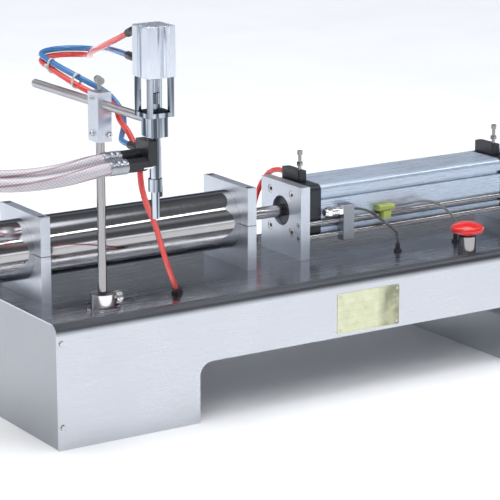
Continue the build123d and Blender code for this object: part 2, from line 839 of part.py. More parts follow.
# ================================================================ rails and switches
with BuildPart() as switch_rails:
    for rail_z in (rail_upper, rail_lower):
        with BuildSketch(frame_at(front_cap_x, rail_y, rail_z, (1, 0, 0))):
            Circle(rail_diameter / 2)
        extrude(amount=rear_plate_x - front_cap_x)
        for end_x, inward in ((front_cap_x, 1), (rear_plate_x, -1)):
            with BuildSketch(frame_at(end_x, rail_y, rail_z, (inward, 0, 0))):
                Circle(rail_screw / 2)
            extrude(amount=rail_screw_reach + 1, mode=Mode.SUBTRACT)
switch_rails.part.label = "switch_rails"
export_step(switch_rails.part, "parts/switch_rails.step")

rail_block_front = rail_y - rail_diameter / 2 - rail_block_depth
rail_block_back = axis_y - cap_size / 2 - moving_gap
rail_block_centre = (rail_block_front + rail_block_back) / 2
rail_block_thick = rail_block_back - rail_block_front
rail_centre_z = (rail_upper + rail_lower) / 2
rail_bracket_z = rail_centre_z + 7
with BuildPart() as rail_bracket:
    with BuildSketch(section_at(rail_bracket_x, rail_block_centre, rail_bracket_z)):
        Rectangle(rail_block_thick, rail_bracket_height)
        with Locations(
            (rail_y - rail_block_centre, rail_upper - rail_bracket_z),
            (rail_y - rail_block_centre, rail_lower - rail_bracket_z),
        ):
            Circle(rail_diameter / 2, mode=Mode.SUBTRACT)
    extrude(amount=rail_bracket_length)
    chamfer(edges().filter_by(Axis.X).group_by(Axis.Y)[0], 1)
rail_bracket.part.label = "rail_bracket"
export_step(rail_bracket.part, "parts/rail_bracket.step")

# The home switch is a threaded round sensor held by two nuts.
with BuildPart() as home_switch:
    with BuildSketch(section_at(home_switch_x, rail_block_centre, home_switch_z)):
        Circle(home_switch_diameter / 2)
    extrude(amount=rail_bracket_x - home_switch_x)
    chamfer(edges().filter_by(GeomType.CIRCLE).group_by(Axis.X)[0], 1)
    for nut_x in (
        home_switch_x + home_switch_nut_length / 2,
        rail_bracket_x - home_switch_nut_length,
    ):
        with BuildSketch(section_at(nut_x, rail_block_centre, home_switch_z)):
            RegularPolygon(home_switch_nut, 6, rotation=30)
        extrude(amount=home_switch_nut_length)
home_switch.part.label = "home_switch"
export_step(home_switch.part, "parts/home_switch.step")

# The stroke switch rides on the upper rail with a clip under its body.
clip_wall = 2
clip_bottom = rail_upper - rail_diameter / 2 - clip_wall
clip_top = rail_upper + rail_diameter / 2 + clip_wall
with BuildPart() as stroke_switch:
    with BuildSketch(section_at(switch_x + clip_inset, rail_block_centre, rail_upper)):
        Rectangle(rail_block_thick, clip_top - clip_bottom)
        with Locations((rail_y - rail_block_centre, 0)):
            Circle(rail_diameter / 2 + running_gap, mode=Mode.SUBTRACT)
    extrude(amount=switch_length - 2 * clip_inset)
    with BuildSketch(section_at(switch_x, rail_block_centre, clip_top)):
        with Locations((0, switch_height / 2)):
            RectangleRounded(rail_block_thick, switch_height, switch_corner)
    extrude(amount=switch_length)
stroke_switch.part.label = "stroke_switch"
export_step(stroke_switch.part, "parts/stroke_switch.step")

# ================================================================ speed controllers on the end caps
cap_top = axis_z + cap_size / 2
controller_y = axis_y + 10
needle_y = axis_y - 5
needle_seat = cap_top + controller_height
with BuildPart() as speed_controllers:
    for cap_x in (front_cap_x, rear_cap_x):
        with BuildSketch(Plane.XY.offset(cap_top)):
            with Locations((cap_x + cap_length / 2, controller_y)):
                RectangleRounded(controller_width, controller_length, 5)
        extrude(amount=controller_height)
        with BuildSketch(Plane.XY.offset(needle_seat)):
            with Locations((cap_x + cap_length / 2, needle_y)):
                Circle(needle_diameter / 2 + running_gap)
        extrude(amount=-controller_height / 2, mode=Mode.SUBTRACT)
speed_controllers.part.label = "speed_controllers"
export_step(speed_controllers.part, "parts/speed_controllers.step")

for needle_name, cap_x in (("front_speed_screw", front_cap_x), ("rear_speed_screw", rear_cap_x)):
    with BuildPart() as speed_screw:
        with BuildSketch(Plane.XY.offset(needle_seat - controller_height / 2 + moving_gap)):
            with Locations((cap_x + cap_length / 2, needle_y)):
                Circle(needle_diameter / 2)
        extrude(amount=controller_height / 2 + needle_length)
        with BuildSketch(Plane.XY.offset(needle_seat + needle_length / 4)):
            with Locations((cap_x + cap_length / 2, needle_y)):
                RegularPolygon(needle_head / 2, 6)
        extrude(amount=needle_length / 6)
        with BuildSketch(Plane.XY.offset(needle_seat + needle_length * 0.8)):
            with Locations((cap_x + cap_length / 2, needle_y)):
                Circle(needle_head / 2 - 1)
        extrude(amount=needle_length / 5)
    speed_screw.part.label = needle_name
    export_step(speed_screw.part, f"parts/{needle_name}.step")

# ================================================================ stop button
with BuildPart() as stop_button_neck:
    with BuildSketch(Plane.XY.offset(deck)):
        with Locations((button_x, button_y)):
            Circle(button_neck / 2)
    extrude(amount=button_neck_height)
    with BuildSketch(Plane.XY.offset(deck)):
        with Locations((button_x, button_y)):
            Circle(button_shank / 2)
    extrude(amount=-button_shank)
    with BuildSketch(Plane.XY.offset(deck + button_neck_height)):
        with Locations((button_x, button_y)):
            Circle(button_stem / 2 + running_gap)
    extrude(amount=-button_neck_height - button_shank / 2, mode=Mode.SUBTRACT)
stop_button_neck.part.label = "stop_button_neck"
export_step(stop_button_neck.part, "parts/stop_button_neck.step")

head_base_z = deck + button_neck_height + button_gap
dome_edge = button_head / 2 - 3
dome_height = button_head_height * 0.35
dome_radius = (dome_edge**2 + dome_height**2) / (2 * dome_height)
dome_angle = math.degrees(math.asin(dome_edge / dome_radius))
with BuildPart() as stop_button_head:
    button_plane = Plane(origin=(button_x, button_y, head_base_z), x_dir=(1, 0, 0), z_dir=(0, -1, 0))
    with BuildSketch(button_plane):
        with BuildLine():
            Line((0, 0), (dome_edge, 0))
            ThreePointArc(
                (dome_edge, 0),
                (button_head / 2, button_head_height * 0.3),
                (dome_edge, button_head_height - dome_height),
            )
            CenterArc((0, button_head_height - dome_radius), dome_radius, 90 - dome_angle, dome_angle)
            Line((0, button_head_height), (0, 0))
        make_face()
    revolve(axis=Axis((button_x, button_y, 0), (0, 0, 1)))
    with BuildSketch(Plane.XY.offset(head_base_z + 2)):
        with Locations((button_x, button_y)):
            Circle(button_stem / 2)
    extrude(amount=-button_gap - button_neck_height + 4)
stop_button_head.part.label = "stop_button_head"
export_step(stop_button_head.part, "parts/stop_button_head.step")

# ================================================================ post, its flange and the lock knob
lock_z = deck + flange_thick + collar_height / 2
lock_knob_x = post_x + collar_diameter / 2 + 2
with BuildPart() as post_flange:
    with BuildSketch(Plane.XY.offset(deck)):
        with Locations((post_x, post_y)):
            Circle(flange_diameter / 2)
            Circle(post_diameter / 2 + running_gap, mode=Mode.SUBTRACT)
    extrude(amount=flange_thick)
    with BuildSketch(Plane.XY.offset(deck + flange_thick)):
        with Locations((post_x, post_y)):
            Circle(collar_diameter / 2)
            Circle(post_diameter / 2 + running_gap, mode=Mode.SUBTRACT)
    extrude(amount=collar_height)
    with BuildSketch(frame_at(post_x, post_y, lock_z, (1, 0, 0))):
        Circle(lock_screw_size / 2 + running_gap)
    extrude(amount=collar_diameter, mode=Mode.SUBTRACT)
post_flange.part.label = "post_flange"
export_step(post_flange.part, "parts/post_flange.step")

with BuildPart() as lock_knob:
    with BuildSketch(frame_at(post_x + post_diameter / 2 + moving_gap, post_y, lock_z, (1, 0, 0))):
        Circle(lock_screw_size / 2)
    extrude(amount=lock_knob_x - post_x - post_diameter / 2)
    with BuildSketch(frame_at(lock_knob_x, post_y, lock_z, (1, 0, 0))):
        Circle(lock_knob_diameter / 2)
        with PolarLocations(lock_knob_diameter / 2 + 1, 8):
            Circle(2.2, mode=Mode.SUBTRACT)
    extrude(amount=lock_knob_length)
lock_knob.part.label = "lock_knob"
export_step(lock_knob.part, "parts/lock_knob.step")

with BuildPart() as post:
    with BuildSketch(Plane.XY.offset(post_bottom)):
        with Locations((post_x, post_y)):
            Circle(post_diameter / 2)
    extrude(amount=post_top - post_bottom)
    chamfer(edges().filter_by(GeomType.CIRCLE), 0.8)
post.part.label = "post"
export_step(post.part, "parts/post.step")

with BuildPart() as bracket:
    with BuildSketch(Plane.XY.offset(bracket_bottom)):
        with Locations((post_x, post_y)):
            Rectangle(bracket_width, bracket_depth)
    extrude(amount=bracket_top - bracket_bottom)
    chamfer(edges().filter_by(Axis.Z), 1)
    with BuildSketch(Plane.XY.offset(bracket_bottom)):
        with Locations((post_x, post_y)):
            Circle(post_diameter / 2)
    extrude(amount=post_top + 1 - bracket_bottom, mode=Mode.SUBTRACT)
    with BuildSketch(frame_at(post_x, post_y + bracket_depth / 2, arm_z, (0, -1, 0))):
        Circle(arm_diameter / 2)
    extrude(amount=bracket_depth, mode=Mode.SUBTRACT)
    with BuildSketch(Plane.XY.offset(bracket_top)):
        with Locations((post_x, post_y)):
            Circle(wing_screw_size / 2 + running_gap)
    extrude(amount=arm_z - bracket_top, mode=Mode.SUBTRACT)
bracket.part.label = "bracket"
export_step(bracket.part, "parts/bracket.step")

wing_height = 10
wing_width = 16
wing_thick = 3
wing_turn = 35
wing_centre = (post_x, post_y, wing_top - wing_height / 2)
wing_plane = Plane(origin=wing_centre, x_dir=(1, 0, 0), z_dir=(0, -1, 0)).rotated((0, wing_turn, 0))
with BuildPart() as wing_screw:
    with BuildSketch(Plane.XY.offset(arm_z + arm_diameter / 2 + running_gap)):
        with Locations((post_x, post_y)):
            Circle(wing_screw_size / 2)
    extrude(amount=wing_top - wing_height / 2 - arm_z - arm_diameter / 2)
    with BuildSketch(wing_plane):
        SlotOverall(wing_width, wing_height)
    extrude(amount=wing_thick / 2, both=True)
wing_screw.part.label = "wing_screw"
export_step(wing_screw.part, "parts/wing_screw.step")

block_back_y = nozzle_y + block_depth / 2
with BuildPart() as arm:
    with BuildSketch(frame_at(post_x, block_back_y, arm_z, (0, 1, 0))):
        Circle(arm_diameter / 2)
    extrude(amount=arm_back - block_back_y)
    chamfer(edges().filter_by(GeomType.CIRCLE).group_by(Axis.Y)[-1], 1)
arm.part.label = "arm"
export_step(arm.part, "parts/arm.step")

# ================================================================ nozzle head
with BuildPart() as nozzle_block:
    with BuildSketch(Plane.XY.offset(block_bottom)):
        with Locations((post_x, nozzle_y)):
            Rectangle(block_width, block_depth)
            Circle(plug_rod_diameter / 2 + running_gap, mode=Mode.SUBTRACT)
    extrude(amount=block_top - block_bottom)
    with BuildSketch(Plane.XY.offset(block_top)):
        with Locations((post_x, nozzle_y)):
            RectangleRounded(standoff_spacing + standoff_diameter, standoff_spacing + standoff_diameter, 4)
            Circle(plug_rod_diameter / 2 + running_gap, mode=Mode.SUBTRACT)
    extrude(amount=-block_plate)
nozzle_block.part.label = "nozzle_block"
export_step(nozzle_block.part, "parts/nozzle_block.step")

with BuildPart() as standoffs:
    with BuildSketch(Plane.XY.offset(block_top)):
        with Locations((post_x, nozzle_y)):
            with GridLocations(standoff_spacing, standoff_spacing, 2, 2):
                Circle(standoff_diameter / 2)
    extrude(amount=actuator_bottom - block_top)
standoffs.part.label = "standoffs"
export_step(standoffs.part, "parts/standoffs.step")

actuator_top = actuator_bottom + actuator_height
with BuildPart() as actuator_body:
    with BuildSketch(Plane.XY.offset(actuator_bottom)):
        with Locations((post_x, nozzle_y)):
            RectangleRounded(actuator_size, actuator_size, actuator_corner)
    extrude(amount=actuator_height)
    with BuildSketch(Plane.XY.offset(actuator_bottom + actuator_wall)):
        with Locations((post_x, nozzle_y)):
            Circle(actuator_bore / 2)
    extrude(amount=actuator_height - 2 * actuator_wall, mode=Mode.SUBTRACT)
    with BuildSketch(Plane.XY.offset(actuator_bottom)):
        with Locations((post_x, nozzle_y)):
            Circle(plug_rod_diameter / 2 + running_gap)
    extrude(amount=actuator_wall, mode=Mode.SUBTRACT)
actuator_body.part.label = "actuator_body"
export_step(actuator_body.part, "parts/actuator_body.step")

# The plug rod carries the actuator's piston at its top and the sealing plug at its bottom.
actuator_piston_z = actuator_bottom + actuator_wall + 4
actuator_piston_height = 12
coupling_z = block_top + 10
coupling_height = 14
rod_slim = 4.5
with BuildPart() as plug_rod:
    with BuildSketch(Plane.XY.offset(actuator_piston_z)):
        with Locations((post_x, nozzle_y)):
            Circle(actuator_bore / 2 - running_gap)
    extrude(amount=actuator_piston_height)
    with BuildSketch(Plane.XY.offset(block_bottom)):
        with Locations((post_x, nozzle_y)):
            Circle(plug_rod_diameter / 2)
    extrude(amount=actuator_piston_z - block_bottom)
    with BuildSketch(Plane.XY.offset(coupling_z)):
        with Locations((post_x, nozzle_y)):
            Circle(coupling_diameter / 2)
    extrude(amount=coupling_height)
    with BuildSketch(Plane.XY.offset(tip_bottom + 1)):
        with Locations((post_x, nozzle_y)):
            Circle(rod_slim / 2)
    extrude(amount=block_bottom - tip_bottom)
    with BuildSketch(Plane.XY.offset(tip_bottom + 1)):
        with Locations((post_x, nozzle_y)):
            Circle(tip_bore / 2 - running_gap)
    extrude(amount=4)
plug_rod.part.label = "plug_rod"
export_step(plug_rod.part, "parts/plug_rod.step")

with BuildPart() as nozzle_body:
    with BuildSketch(Plane.XY.offset(nozzle_bottom)):
        with Locations((post_x, nozzle_y)):
            Circle(nozzle_diameter / 2)
    extrude(amount=block_bottom - nozzle_bottom)
    with BuildSketch(Plane.XY.offset(nozzle_bottom)):
        with Locations((post_x, nozzle_y)):
            Circle(nozzle_bore / 2)
    extrude(amount=block_bottom - nozzle_bottom, mode=Mode.SUBTRACT)
nozzle_body.part.label = "nozzle_body"
export_step(nozzle_body.part, "parts/nozzle_body.step")

with BuildPart() as nozzle_tip:
    with BuildSketch(Plane.XY.offset(nozzle_bottom)):
        with Locations((post_x, nozzle_y)):
            Circle(tip_collar / 2)
    extrude(amount=-tip_collar_height)
    with BuildSketch(Plane.XY.offset(tip_bottom)):
        with Locations((post_x, nozzle_y)):
            Circle(tip_diameter / 2)
    extrude(amount=nozzle_bottom - tip_bottom)
    with BuildSketch(Plane.XY.offset(tip_bottom)):
        with Locations((post_x, nozzle_y)):
            Circle(tip_bore / 2)
    extrude(amount=nozzle_bottom - tip_bottom, mode=Mode.SUBTRACT)
    chamfer(edges().filter_by(GeomType.CIRCLE).group_by(Axis.Z)[0].sort_by(SortBy.RADIUS)[-1], 1)
nozzle_tip.part.label = "nozzle_tip"
export_step(nozzle_tip.part, "parts/nozzle_tip.step")

# Inlet block with its hose unions, push-in fittings and the blue line's elbow, all on the nozzle head.
inlet_x = post_x - nozzle_diameter / 2 - inlet_length / 2 + 2
inlet_left = inlet_x - inlet_length / 2
inlet_z = inlet_top - inlet_height / 2
actuator_back_y = nozzle_y + actuator_size / 2
inlet_back_y = nozzle_y + inlet_depth / 2
blue_end = blue_tube_points[-1]
with BuildPart() as head_fittings:
    with Locations((inlet_x, nozzle_y, inlet_z)):
        Box(inlet_length, inlet_depth, inlet_height)
    chamfer(edges().filter_by(Axis.Z), 1.5)
    with BuildSketch(Plane.XY.offset(inlet_z - inlet_height / 2)):
        with Locations((post_x, nozzle_y)):
            Circle(nozzle_diameter / 2)
    extrude(amount=inlet_height, mode=Mode.SUBTRACT)
    for port in (front_port, rear_port):
        with BuildSketch(frame_at(inlet_left, port[1], port[2], (-1, 0, 0))):
            RegularPolygon(union_diameter / 2 - 0.2, 6)
        extrude(amount=inlet_left - port[0])
    for tube_points in (red_tube_points, blue_tube_points):
        tube_start = Vector(*tube_points[0])
        tube_run = (Vector(*tube_points[1]) - tube_start).normalized()
        knee = tube_start - tube_run * air_fitting_length / 2
        with BuildSketch(frame_at(knee.X, actuator_back_y, knee.Z, (0, 1, 0))):
            Circle(air_fitting_diameter / 2)
        extrude(amount=knee.Y - actuator_back_y)
        with Locations((knee.X, knee.Y, knee.Z)):
            Sphere(air_fitting_diameter / 2)
        with BuildSketch(Plane(origin=knee, z_dir=tube_run)):
            Circle(air_fitting_diameter / 2)
        extrude(amount=air_fitting_length / 2)
    with BuildSketch(frame_at(blue_end[0], inlet_back_y, blue_end[2], (0, 1, 0))):
        Circle(air_fitting_diameter / 2)
    extrude(amount=blue_end[1] - inlet_back_y)
head_fittings.part.label = "head_fittings"
export_step(head_fittings.part, "parts/head_fittings.step")

# ================================================================ fittings on the deck
red_end = Vector(*red_tube_points[-1])
red_last_run = Vector(*red_tube_points[-2]) - red_end
supply_end_z = supply_tube_points[-1][2]
lead_end_z = switch_lead_points[-1][2]
with BuildPart() as deck_fittings:
    with BuildSketch(Plane.XY.offset(deck)):
        with Locations((elbow_x, elbow_y), (supply_elbow_x, supply_elbow_y)):
            RegularPolygon(fitting_hexagon, 6)
    extrude(amount=fitting_hexagon_height)
    with BuildSketch(Plane.XY.offset(deck + fitting_hexagon_height)):
        with Locations((elbow_x, elbow_y), (supply_elbow_x, supply_elbow_y)):
            Circle(fitting_radius)
    extrude(amount=fitting_height - fitting_hexagon_height)
    with BuildSketch(Plane(origin=red_end, z_dir=red_last_run * -1)):
        Circle(fitting_radius)
    extrude(amount=2 * fitting_radius - 1)
    with BuildSketch(Plane.XY.offset(deck + fitting_height)):
        with Locations((supply_elbow_x, supply_elbow_y)):
            Circle(fitting_radius)
    extrude(amount=supply_end_z - deck - fitting_height)
    with BuildSketch(Plane.XY.offset(deck)):
        with Locations((switch_grommet_x, switch_grommet_y), (home_grommet_x, home_grommet_y)):
            Circle(grommet_diameter / 2)
    extrude(amount=grommet_height)
    with BuildSketch(Plane.XY.offset(deck + grommet_height)):
        with Locations((switch_grommet_x, switch_grommet_y), (home_grommet_x, home_grommet_y)):
            Circle(lead_diameter / 2 + 1.5)
    extrude(amount=lead_end_z - deck - grommet_height)
deck_fittings.part.label = "deck_fittings"
export_step(deck_fittings.part, "parts/deck_fittings.step")

# ================================================================ hoses, tubes and leads
for cord_name, points, diameter in (
    ("product_hose_front", front_hose_points, hose_diameter),
    ("product_hose_rear", rear_hose_points, hose_diameter),
    ("red_air_tube", red_tube_points, tube_diameter),
    ("blue_air_tube", blue_tube_points, tube_diameter),
    ("supply_tube", supply_tube_points, tube_diameter),
    ("switch_lead", switch_lead_points, lead_diameter),
    ("home_lead", home_lead_points, lead_diameter),
):
    print(cord_name)
    bar = cord(points, diameter)
    bar.part.label = cord_name
    export_step(bar.part, f"parts/{cord_name}.step")
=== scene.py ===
import math

import bmesh
import bpy
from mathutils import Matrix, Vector


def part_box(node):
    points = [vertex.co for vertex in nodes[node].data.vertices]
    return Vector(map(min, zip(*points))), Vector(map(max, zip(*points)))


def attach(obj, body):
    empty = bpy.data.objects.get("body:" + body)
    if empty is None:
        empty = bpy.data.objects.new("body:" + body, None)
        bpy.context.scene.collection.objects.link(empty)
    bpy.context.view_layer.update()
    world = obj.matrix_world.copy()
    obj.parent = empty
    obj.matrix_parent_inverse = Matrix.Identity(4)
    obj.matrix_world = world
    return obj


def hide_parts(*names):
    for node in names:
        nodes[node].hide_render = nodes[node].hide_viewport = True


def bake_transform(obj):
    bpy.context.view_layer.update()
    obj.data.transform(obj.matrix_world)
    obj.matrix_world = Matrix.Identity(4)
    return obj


bl_info = {
    "name": "Piston liquid filler",
    "version": (1, 0, 0),
    "blender": (4, 5, 0),
    "location": "3D View > Sidebar > Filler",
    "description": "Finishes the packed model of a bench piston filler and lays its hoses, tubes and leads",
    "category": "Object",
}

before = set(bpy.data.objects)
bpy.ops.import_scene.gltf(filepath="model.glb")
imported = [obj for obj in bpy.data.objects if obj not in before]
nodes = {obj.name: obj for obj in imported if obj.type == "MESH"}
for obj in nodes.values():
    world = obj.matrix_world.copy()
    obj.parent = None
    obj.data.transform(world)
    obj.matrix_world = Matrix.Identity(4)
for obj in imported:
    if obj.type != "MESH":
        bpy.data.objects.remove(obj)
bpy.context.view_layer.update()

MM = 0.001
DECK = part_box("base_shell")[1][2]
BEND_RADIUS = 12 * MM
CORD_STEPS = 14

# ------------------------------------------------------------------ routes of the cords, in metres
FRONT_HOSE = [
    (-0.0625, -0.256, DECK + 0.232), (-0.100, -0.256, DECK + 0.232), (-0.152, -0.254, DECK + 0.224),
    (-0.204, -0.236, DECK + 0.220), (-0.242, -0.192, DECK + 0.217), (-0.257, -0.128, DECK + 0.211),
    (-0.245, -0.045, DECK + 0.1791), (-0.245, -0.0059, DECK + 0.140),
]
REAR_HOSE = [
    (-0.0625, -0.238, DECK + 0.240), (-0.098, -0.238, DECK + 0.240), (-0.146, -0.236, DECK + 0.232),
    (-0.190, -0.219, DECK + 0.227), (-0.222, -0.181, DECK + 0.223), (-0.234, -0.126, DECK + 0.217),
    (-0.219, -0.050, DECK + 0.1841), (-0.219, -0.0059, DECK + 0.140),
]
RED_TUBE = [
    (-0.024, -0.198, DECK + 0.394), (-0.022, -0.164, DECK + 0.381), (-0.016, -0.115, DECK + 0.365),
    (-0.004, -0.068, DECK + 0.351), (0.014, -0.022, DECK + 0.338), (0.042, 0.022, DECK + 0.328),
    (0.048, 0.059, DECK + 0.324), (0.028, 0.079, DECK + 0.323), (0.000, 0.079, DECK + 0.322),
    (-0.020, 0.059, DECK + 0.321), (-0.022, 0.025, DECK + 0.316), (-0.021, -0.018, DECK + 0.308),
    (-0.013, -0.052, DECK + 0.298), (0.003, -0.079, DECK + 0.288), (0.008, -0.110, DECK + 0.280),
    (-0.008, -0.141, DECK + 0.270), (-0.007, -0.172, DECK + 0.254), (-0.010, -0.200, DECK + 0.224),
    (-0.012, -0.206, DECK + 0.190), (0.003, -0.197, DECK + 0.158), (0.022, -0.183, DECK + 0.132),
    (0.044, -0.161, DECK + 0.095), (0.070, -0.135, DECK + 0.054), (0.092, -0.113, DECK + 0.023),
    (0.105, -0.0974, DECK + 0.011),
]
BLUE_TUBE = [
    (-0.024, -0.198, DECK + 0.365), (-0.018, -0.164, DECK + 0.364), (-0.005, -0.115, DECK + 0.360),
    (0.012, -0.068, DECK + 0.354), (0.029, -0.022, DECK + 0.345), (0.047, 0.022, DECK + 0.337),
    (0.048, 0.059, DECK + 0.333), (0.028, 0.079, DECK + 0.332), (0.000, 0.079, DECK + 0.331),
    (-0.020, 0.059, DECK + 0.330), (-0.021, 0.025, DECK + 0.325), (-0.019, -0.018, DECK + 0.318),
    (-0.008, -0.052, DECK + 0.308), (0.012, -0.079, DECK + 0.294), (0.018, -0.108, DECK + 0.272),
    (0.005, -0.134, DECK + 0.258), (-0.014, -0.160, DECK + 0.250), (-0.028, -0.184, DECK + 0.248),
    (-0.028, -0.207, DECK + 0.248),
]
SUPPLY_TUBE = [
    (0.3905, 0.056, DECK + 0.116), (0.3905, 0.080, DECK + 0.116), (0.388, 0.106, DECK + 0.102),
    (0.379, 0.116, DECK + 0.074), (0.371, 0.116, DECK + 0.046), (0.371, 0.116, DECK + 0.022),
]
SWITCH_LEAD = [
    (0.529, -0.030, DECK + 0.0615), (0.553, -0.030, DECK + 0.0615), (0.582, -0.038, DECK + 0.066),
    (0.606, -0.049, DECK + 0.058), (0.624, -0.060, DECK + 0.038), (0.626, -0.062, DECK + 0.030),
    (0.626, -0.062, DECK + 0.012),
]
HOME_LEAD = [
    (0.4535, -0.0287, DECK + 0.066), (0.465, -0.0287, DECK + 0.066), (0.479, -0.040, DECK + 0.062),
    (0.496, -0.044, DECK + 0.048), (0.508, -0.052, DECK + 0.038), (0.515, -0.064, DECK + 0.028),
    (0.515, -0.064, DECK + 0.012),
]


# ------------------------------------------------------------------ settings a user can change
class FillerSizes(bpy.types.PropertyGroup):
    hose_diameter: bpy.props.FloatProperty(
        name="Hose diameter", description="Outside of the braided product hoses",
        default=0.018, min=0.008, max=0.03, unit="LENGTH")
    tube_diameter: bpy.props.FloatProperty(
        name="Air tube diameter", description="Outside of the air tubes",
        default=0.008, min=0.003, max=0.012, unit="LENGTH")
    lead_diameter: bpy.props.FloatProperty(
        name="Lead diameter", description="Outside of the switch leads",
        default=0.004, min=0.002, max=0.008, unit="LENGTH")
    floor_size: bpy.props.FloatProperty(
        name="Floor size", description="Side of the square floor",
        default=40.0, min=4.0, unit="LENGTH")
    view_distance: bpy.props.FloatProperty(
        name="View distance", description="From the camera to the left foot, along the ground",
        default=3.1667, min=1.0, unit="LENGTH")
    view_height: bpy.props.FloatProperty(
        name="View height", description="Height of the camera",
        default=1.0332, min=0.1, unit="LENGTH")


class FillerColours(bpy.types.PropertyGroup):
    steel: bpy.props.FloatVectorProperty(
        name="Sheet steel", description="Brushed stainless sheet of the base",
        subtype="COLOR", size=3, default=(0.58, 0.60, 0.635), min=0, max=1)
    polished: bpy.props.FloatVectorProperty(
        name="Polished steel", description="Metering tube, rods and post",
        subtype="COLOR", size=3, default=(0.43, 0.42, 0.42), min=0, max=1)
    aluminium: bpy.props.FloatVectorProperty(
        name="Aluminium", description="Anodised clamps, plates and barrel",
        subtype="COLOR", size=3, default=(0.58, 0.615, 0.67), min=0, max=1)
    red: bpy.props.FloatVectorProperty(
        name="Red tube", description="Red air tubes",
        subtype="COLOR", size=3, default=(0.74, 0.055, 0.04), min=0, max=1)
    blue: bpy.props.FloatVectorProperty(
        name="Blue tube", description="Blue air tube",
        subtype="COLOR", size=3, default=(0.025, 0.17, 0.42), min=0, max=1)
    hose: bpy.props.FloatVectorProperty(
        name="Hose", description="Milky wall of the product hoses",
        subtype="COLOR", size=3, default=(0.44, 0.40, 0.43), min=0, max=1)
    button: bpy.props.FloatVectorProperty(
        name="Stop button", description="Mushroom head of the stop button",
        subtype="COLOR", size=3, default=(0.70, 0.012, 0.008), min=0, max=1)


# ------------------------------------------------------------------ node helpers
def shader_of(name):
    """A fresh material with one Principled shader wired to its output."""
    material = bpy.data.materials.new(name)
    material.use_nodes = True
    tree = material.node_tree
    tree.nodes.clear()
    output = tree.nodes.new("ShaderNodeOutputMaterial")
    shader = tree.nodes.new("ShaderNodeBsdfPrincipled")
    tree.links.new(shader.outputs["BSDF"], output.inputs["Surface"])
    return material, tree, shader


def node(tree, kind, settings=None, **inputs):
    """One node, with its settings and its inputs; an input may be a value or another node's output."""
    made = tree.nodes.new("ShaderNode" + kind)
    for key, value in (settings or {}).items():
        setattr(made, key, value)
    for key, value in inputs.items():
        title = key.replace("_", " ")
        socket = made.inputs[title] if title in made.inputs else made.inputs[int(key[1:])]
        if isinstance(value, bpy.types.NodeSocket):
            tree.links.new(value, socket)
        else:
            socket.default_value = value
    return made


def coordinates(tree, scale=(1, 1, 1), place=(0, 0, 0), source="Object"):
    """Texture coordinates stretched by scale."""
    where = node(tree, "TexCoord").outputs[source]
    return node(tree, "Mapping", Vector=where, Scale=scale, Location=place).outputs["Vector"]


def noise(tree, scale, stretch=(1, 1, 1), detail=3.0, roughness=0.55, source="Object"):
    """Noise of that many features per metre, stretched along an axis."""
    vector = coordinates(tree, stretch, source=source)
    made = node(tree, "TexNoise", Vector=vector, Scale=scale, Detail=detail, Roughness=roughness)
    return made.outputs["Fac"]


def maths(tree, operation, first, *second):
    """Result of a Math node on one value or two."""
    values = {f"i{place}": value for place, value in enumerate((first, *second))}
    return node(tree, "Math", {"operation": operation}, **values).outputs[0]


def ranged(tree, value, low, high, start=0.3, end=0.7):
    """Value moved from start..end to low..high."""
    return node(tree, "MapRange", i0=value, i1=start, i2=end, i3=low, i4=high).outputs["Result"]


def two_tone(tree, value, dark, light, start=0.35, end=0.65):
    """Colour between dark and light, by value."""
    mix = node(tree, "Mix", {"data_type": "RGBA"})
    tree.links.new(ranged(tree, value, 0.0, 1.0, start, end), mix.inputs[0])
    mix.inputs[6].default_value = (*dark, 1)
    mix.inputs[7].default_value = (*light, 1)
    return mix.outputs[2]


def bumped(tree, shader, height, strength, distance):
    """Height wired to the shader's normal."""
    bump = node(tree, "Bump", Height=height, Strength=strength, Distance=distance)
    tree.links.new(bump.outputs["Normal"], shader.inputs["Normal"])


def shade(colour, factor):
    """Colour made lighter or darker."""
    return tuple(min(1.0, channel * factor) for channel in colour)


# ------------------------------------------------------------------ materials
def brushed_steel(name, colour, grain=(12, 900, 900), smooth=0.20, rough=0.34, metallic=1.0):
    """Brushed sheet: long fine grain, faint smudges, and a slight unevenness of the sheet."""
    material, tree, shader = shader_of(name)
    grain_noise = noise(tree, 1.0, grain, detail=4.0)
    smudge = noise(tree, 9.0, detail=4.0)
    tint = two_tone(tree, smudge, shade(colour, 0.93), shade(colour, 1.05))
    streak = two_tone(tree, grain_noise, shade(colour, 0.90), shade(colour, 1.06))
    blend = node(tree, "Mix", {"data_type": "RGBA"})
    blend.inputs[0].default_value = 0.5
    tree.links.new(tint, blend.inputs[6])
    tree.links.new(streak, blend.inputs[7])
    tree.links.new(blend.outputs[2], shader.inputs["Base Color"])
    worn = ranged(tree, smudge, -0.03, 0.05, 0.4, 0.7)
    grained = ranged(tree, grain_noise, smooth, rough, 0.35, 0.65)
    total = maths(tree, "ADD", grained, worn)
    tree.links.new(total, shader.inputs["Roughness"])
    shader.inputs["Metallic"].default_value = metallic
    bumped(tree, shader, grain_noise, 0.07, 0.0002)
    return material


def polished_steel(name, colour, turning=(900, 6, 6), smooth=0.07, rough=0.16, marks=0.05):
    """Polished round stock: faint turning marks across its length and a darker tint at grazing angles."""
    material, tree, shader = shader_of(name)
    turned = noise(tree, 1.0, turning, detail=3.0)
    haze = noise(tree, 14.0, detail=3.0)
    tint = two_tone(tree, haze, shade(colour, 0.94), shade(colour, 1.04))
    tree.links.new(tint, shader.inputs["Base Color"])
    tree.links.new(ranged(tree, turned, smooth, rough), shader.inputs["Roughness"])
    shader.inputs["Metallic"].default_value = 1.0
    shader.inputs["Specular Tint"].default_value = (0.30, 0.33, 0.38, 1)
    bumped(tree, shader, turned, marks, 0.0001)
    return material


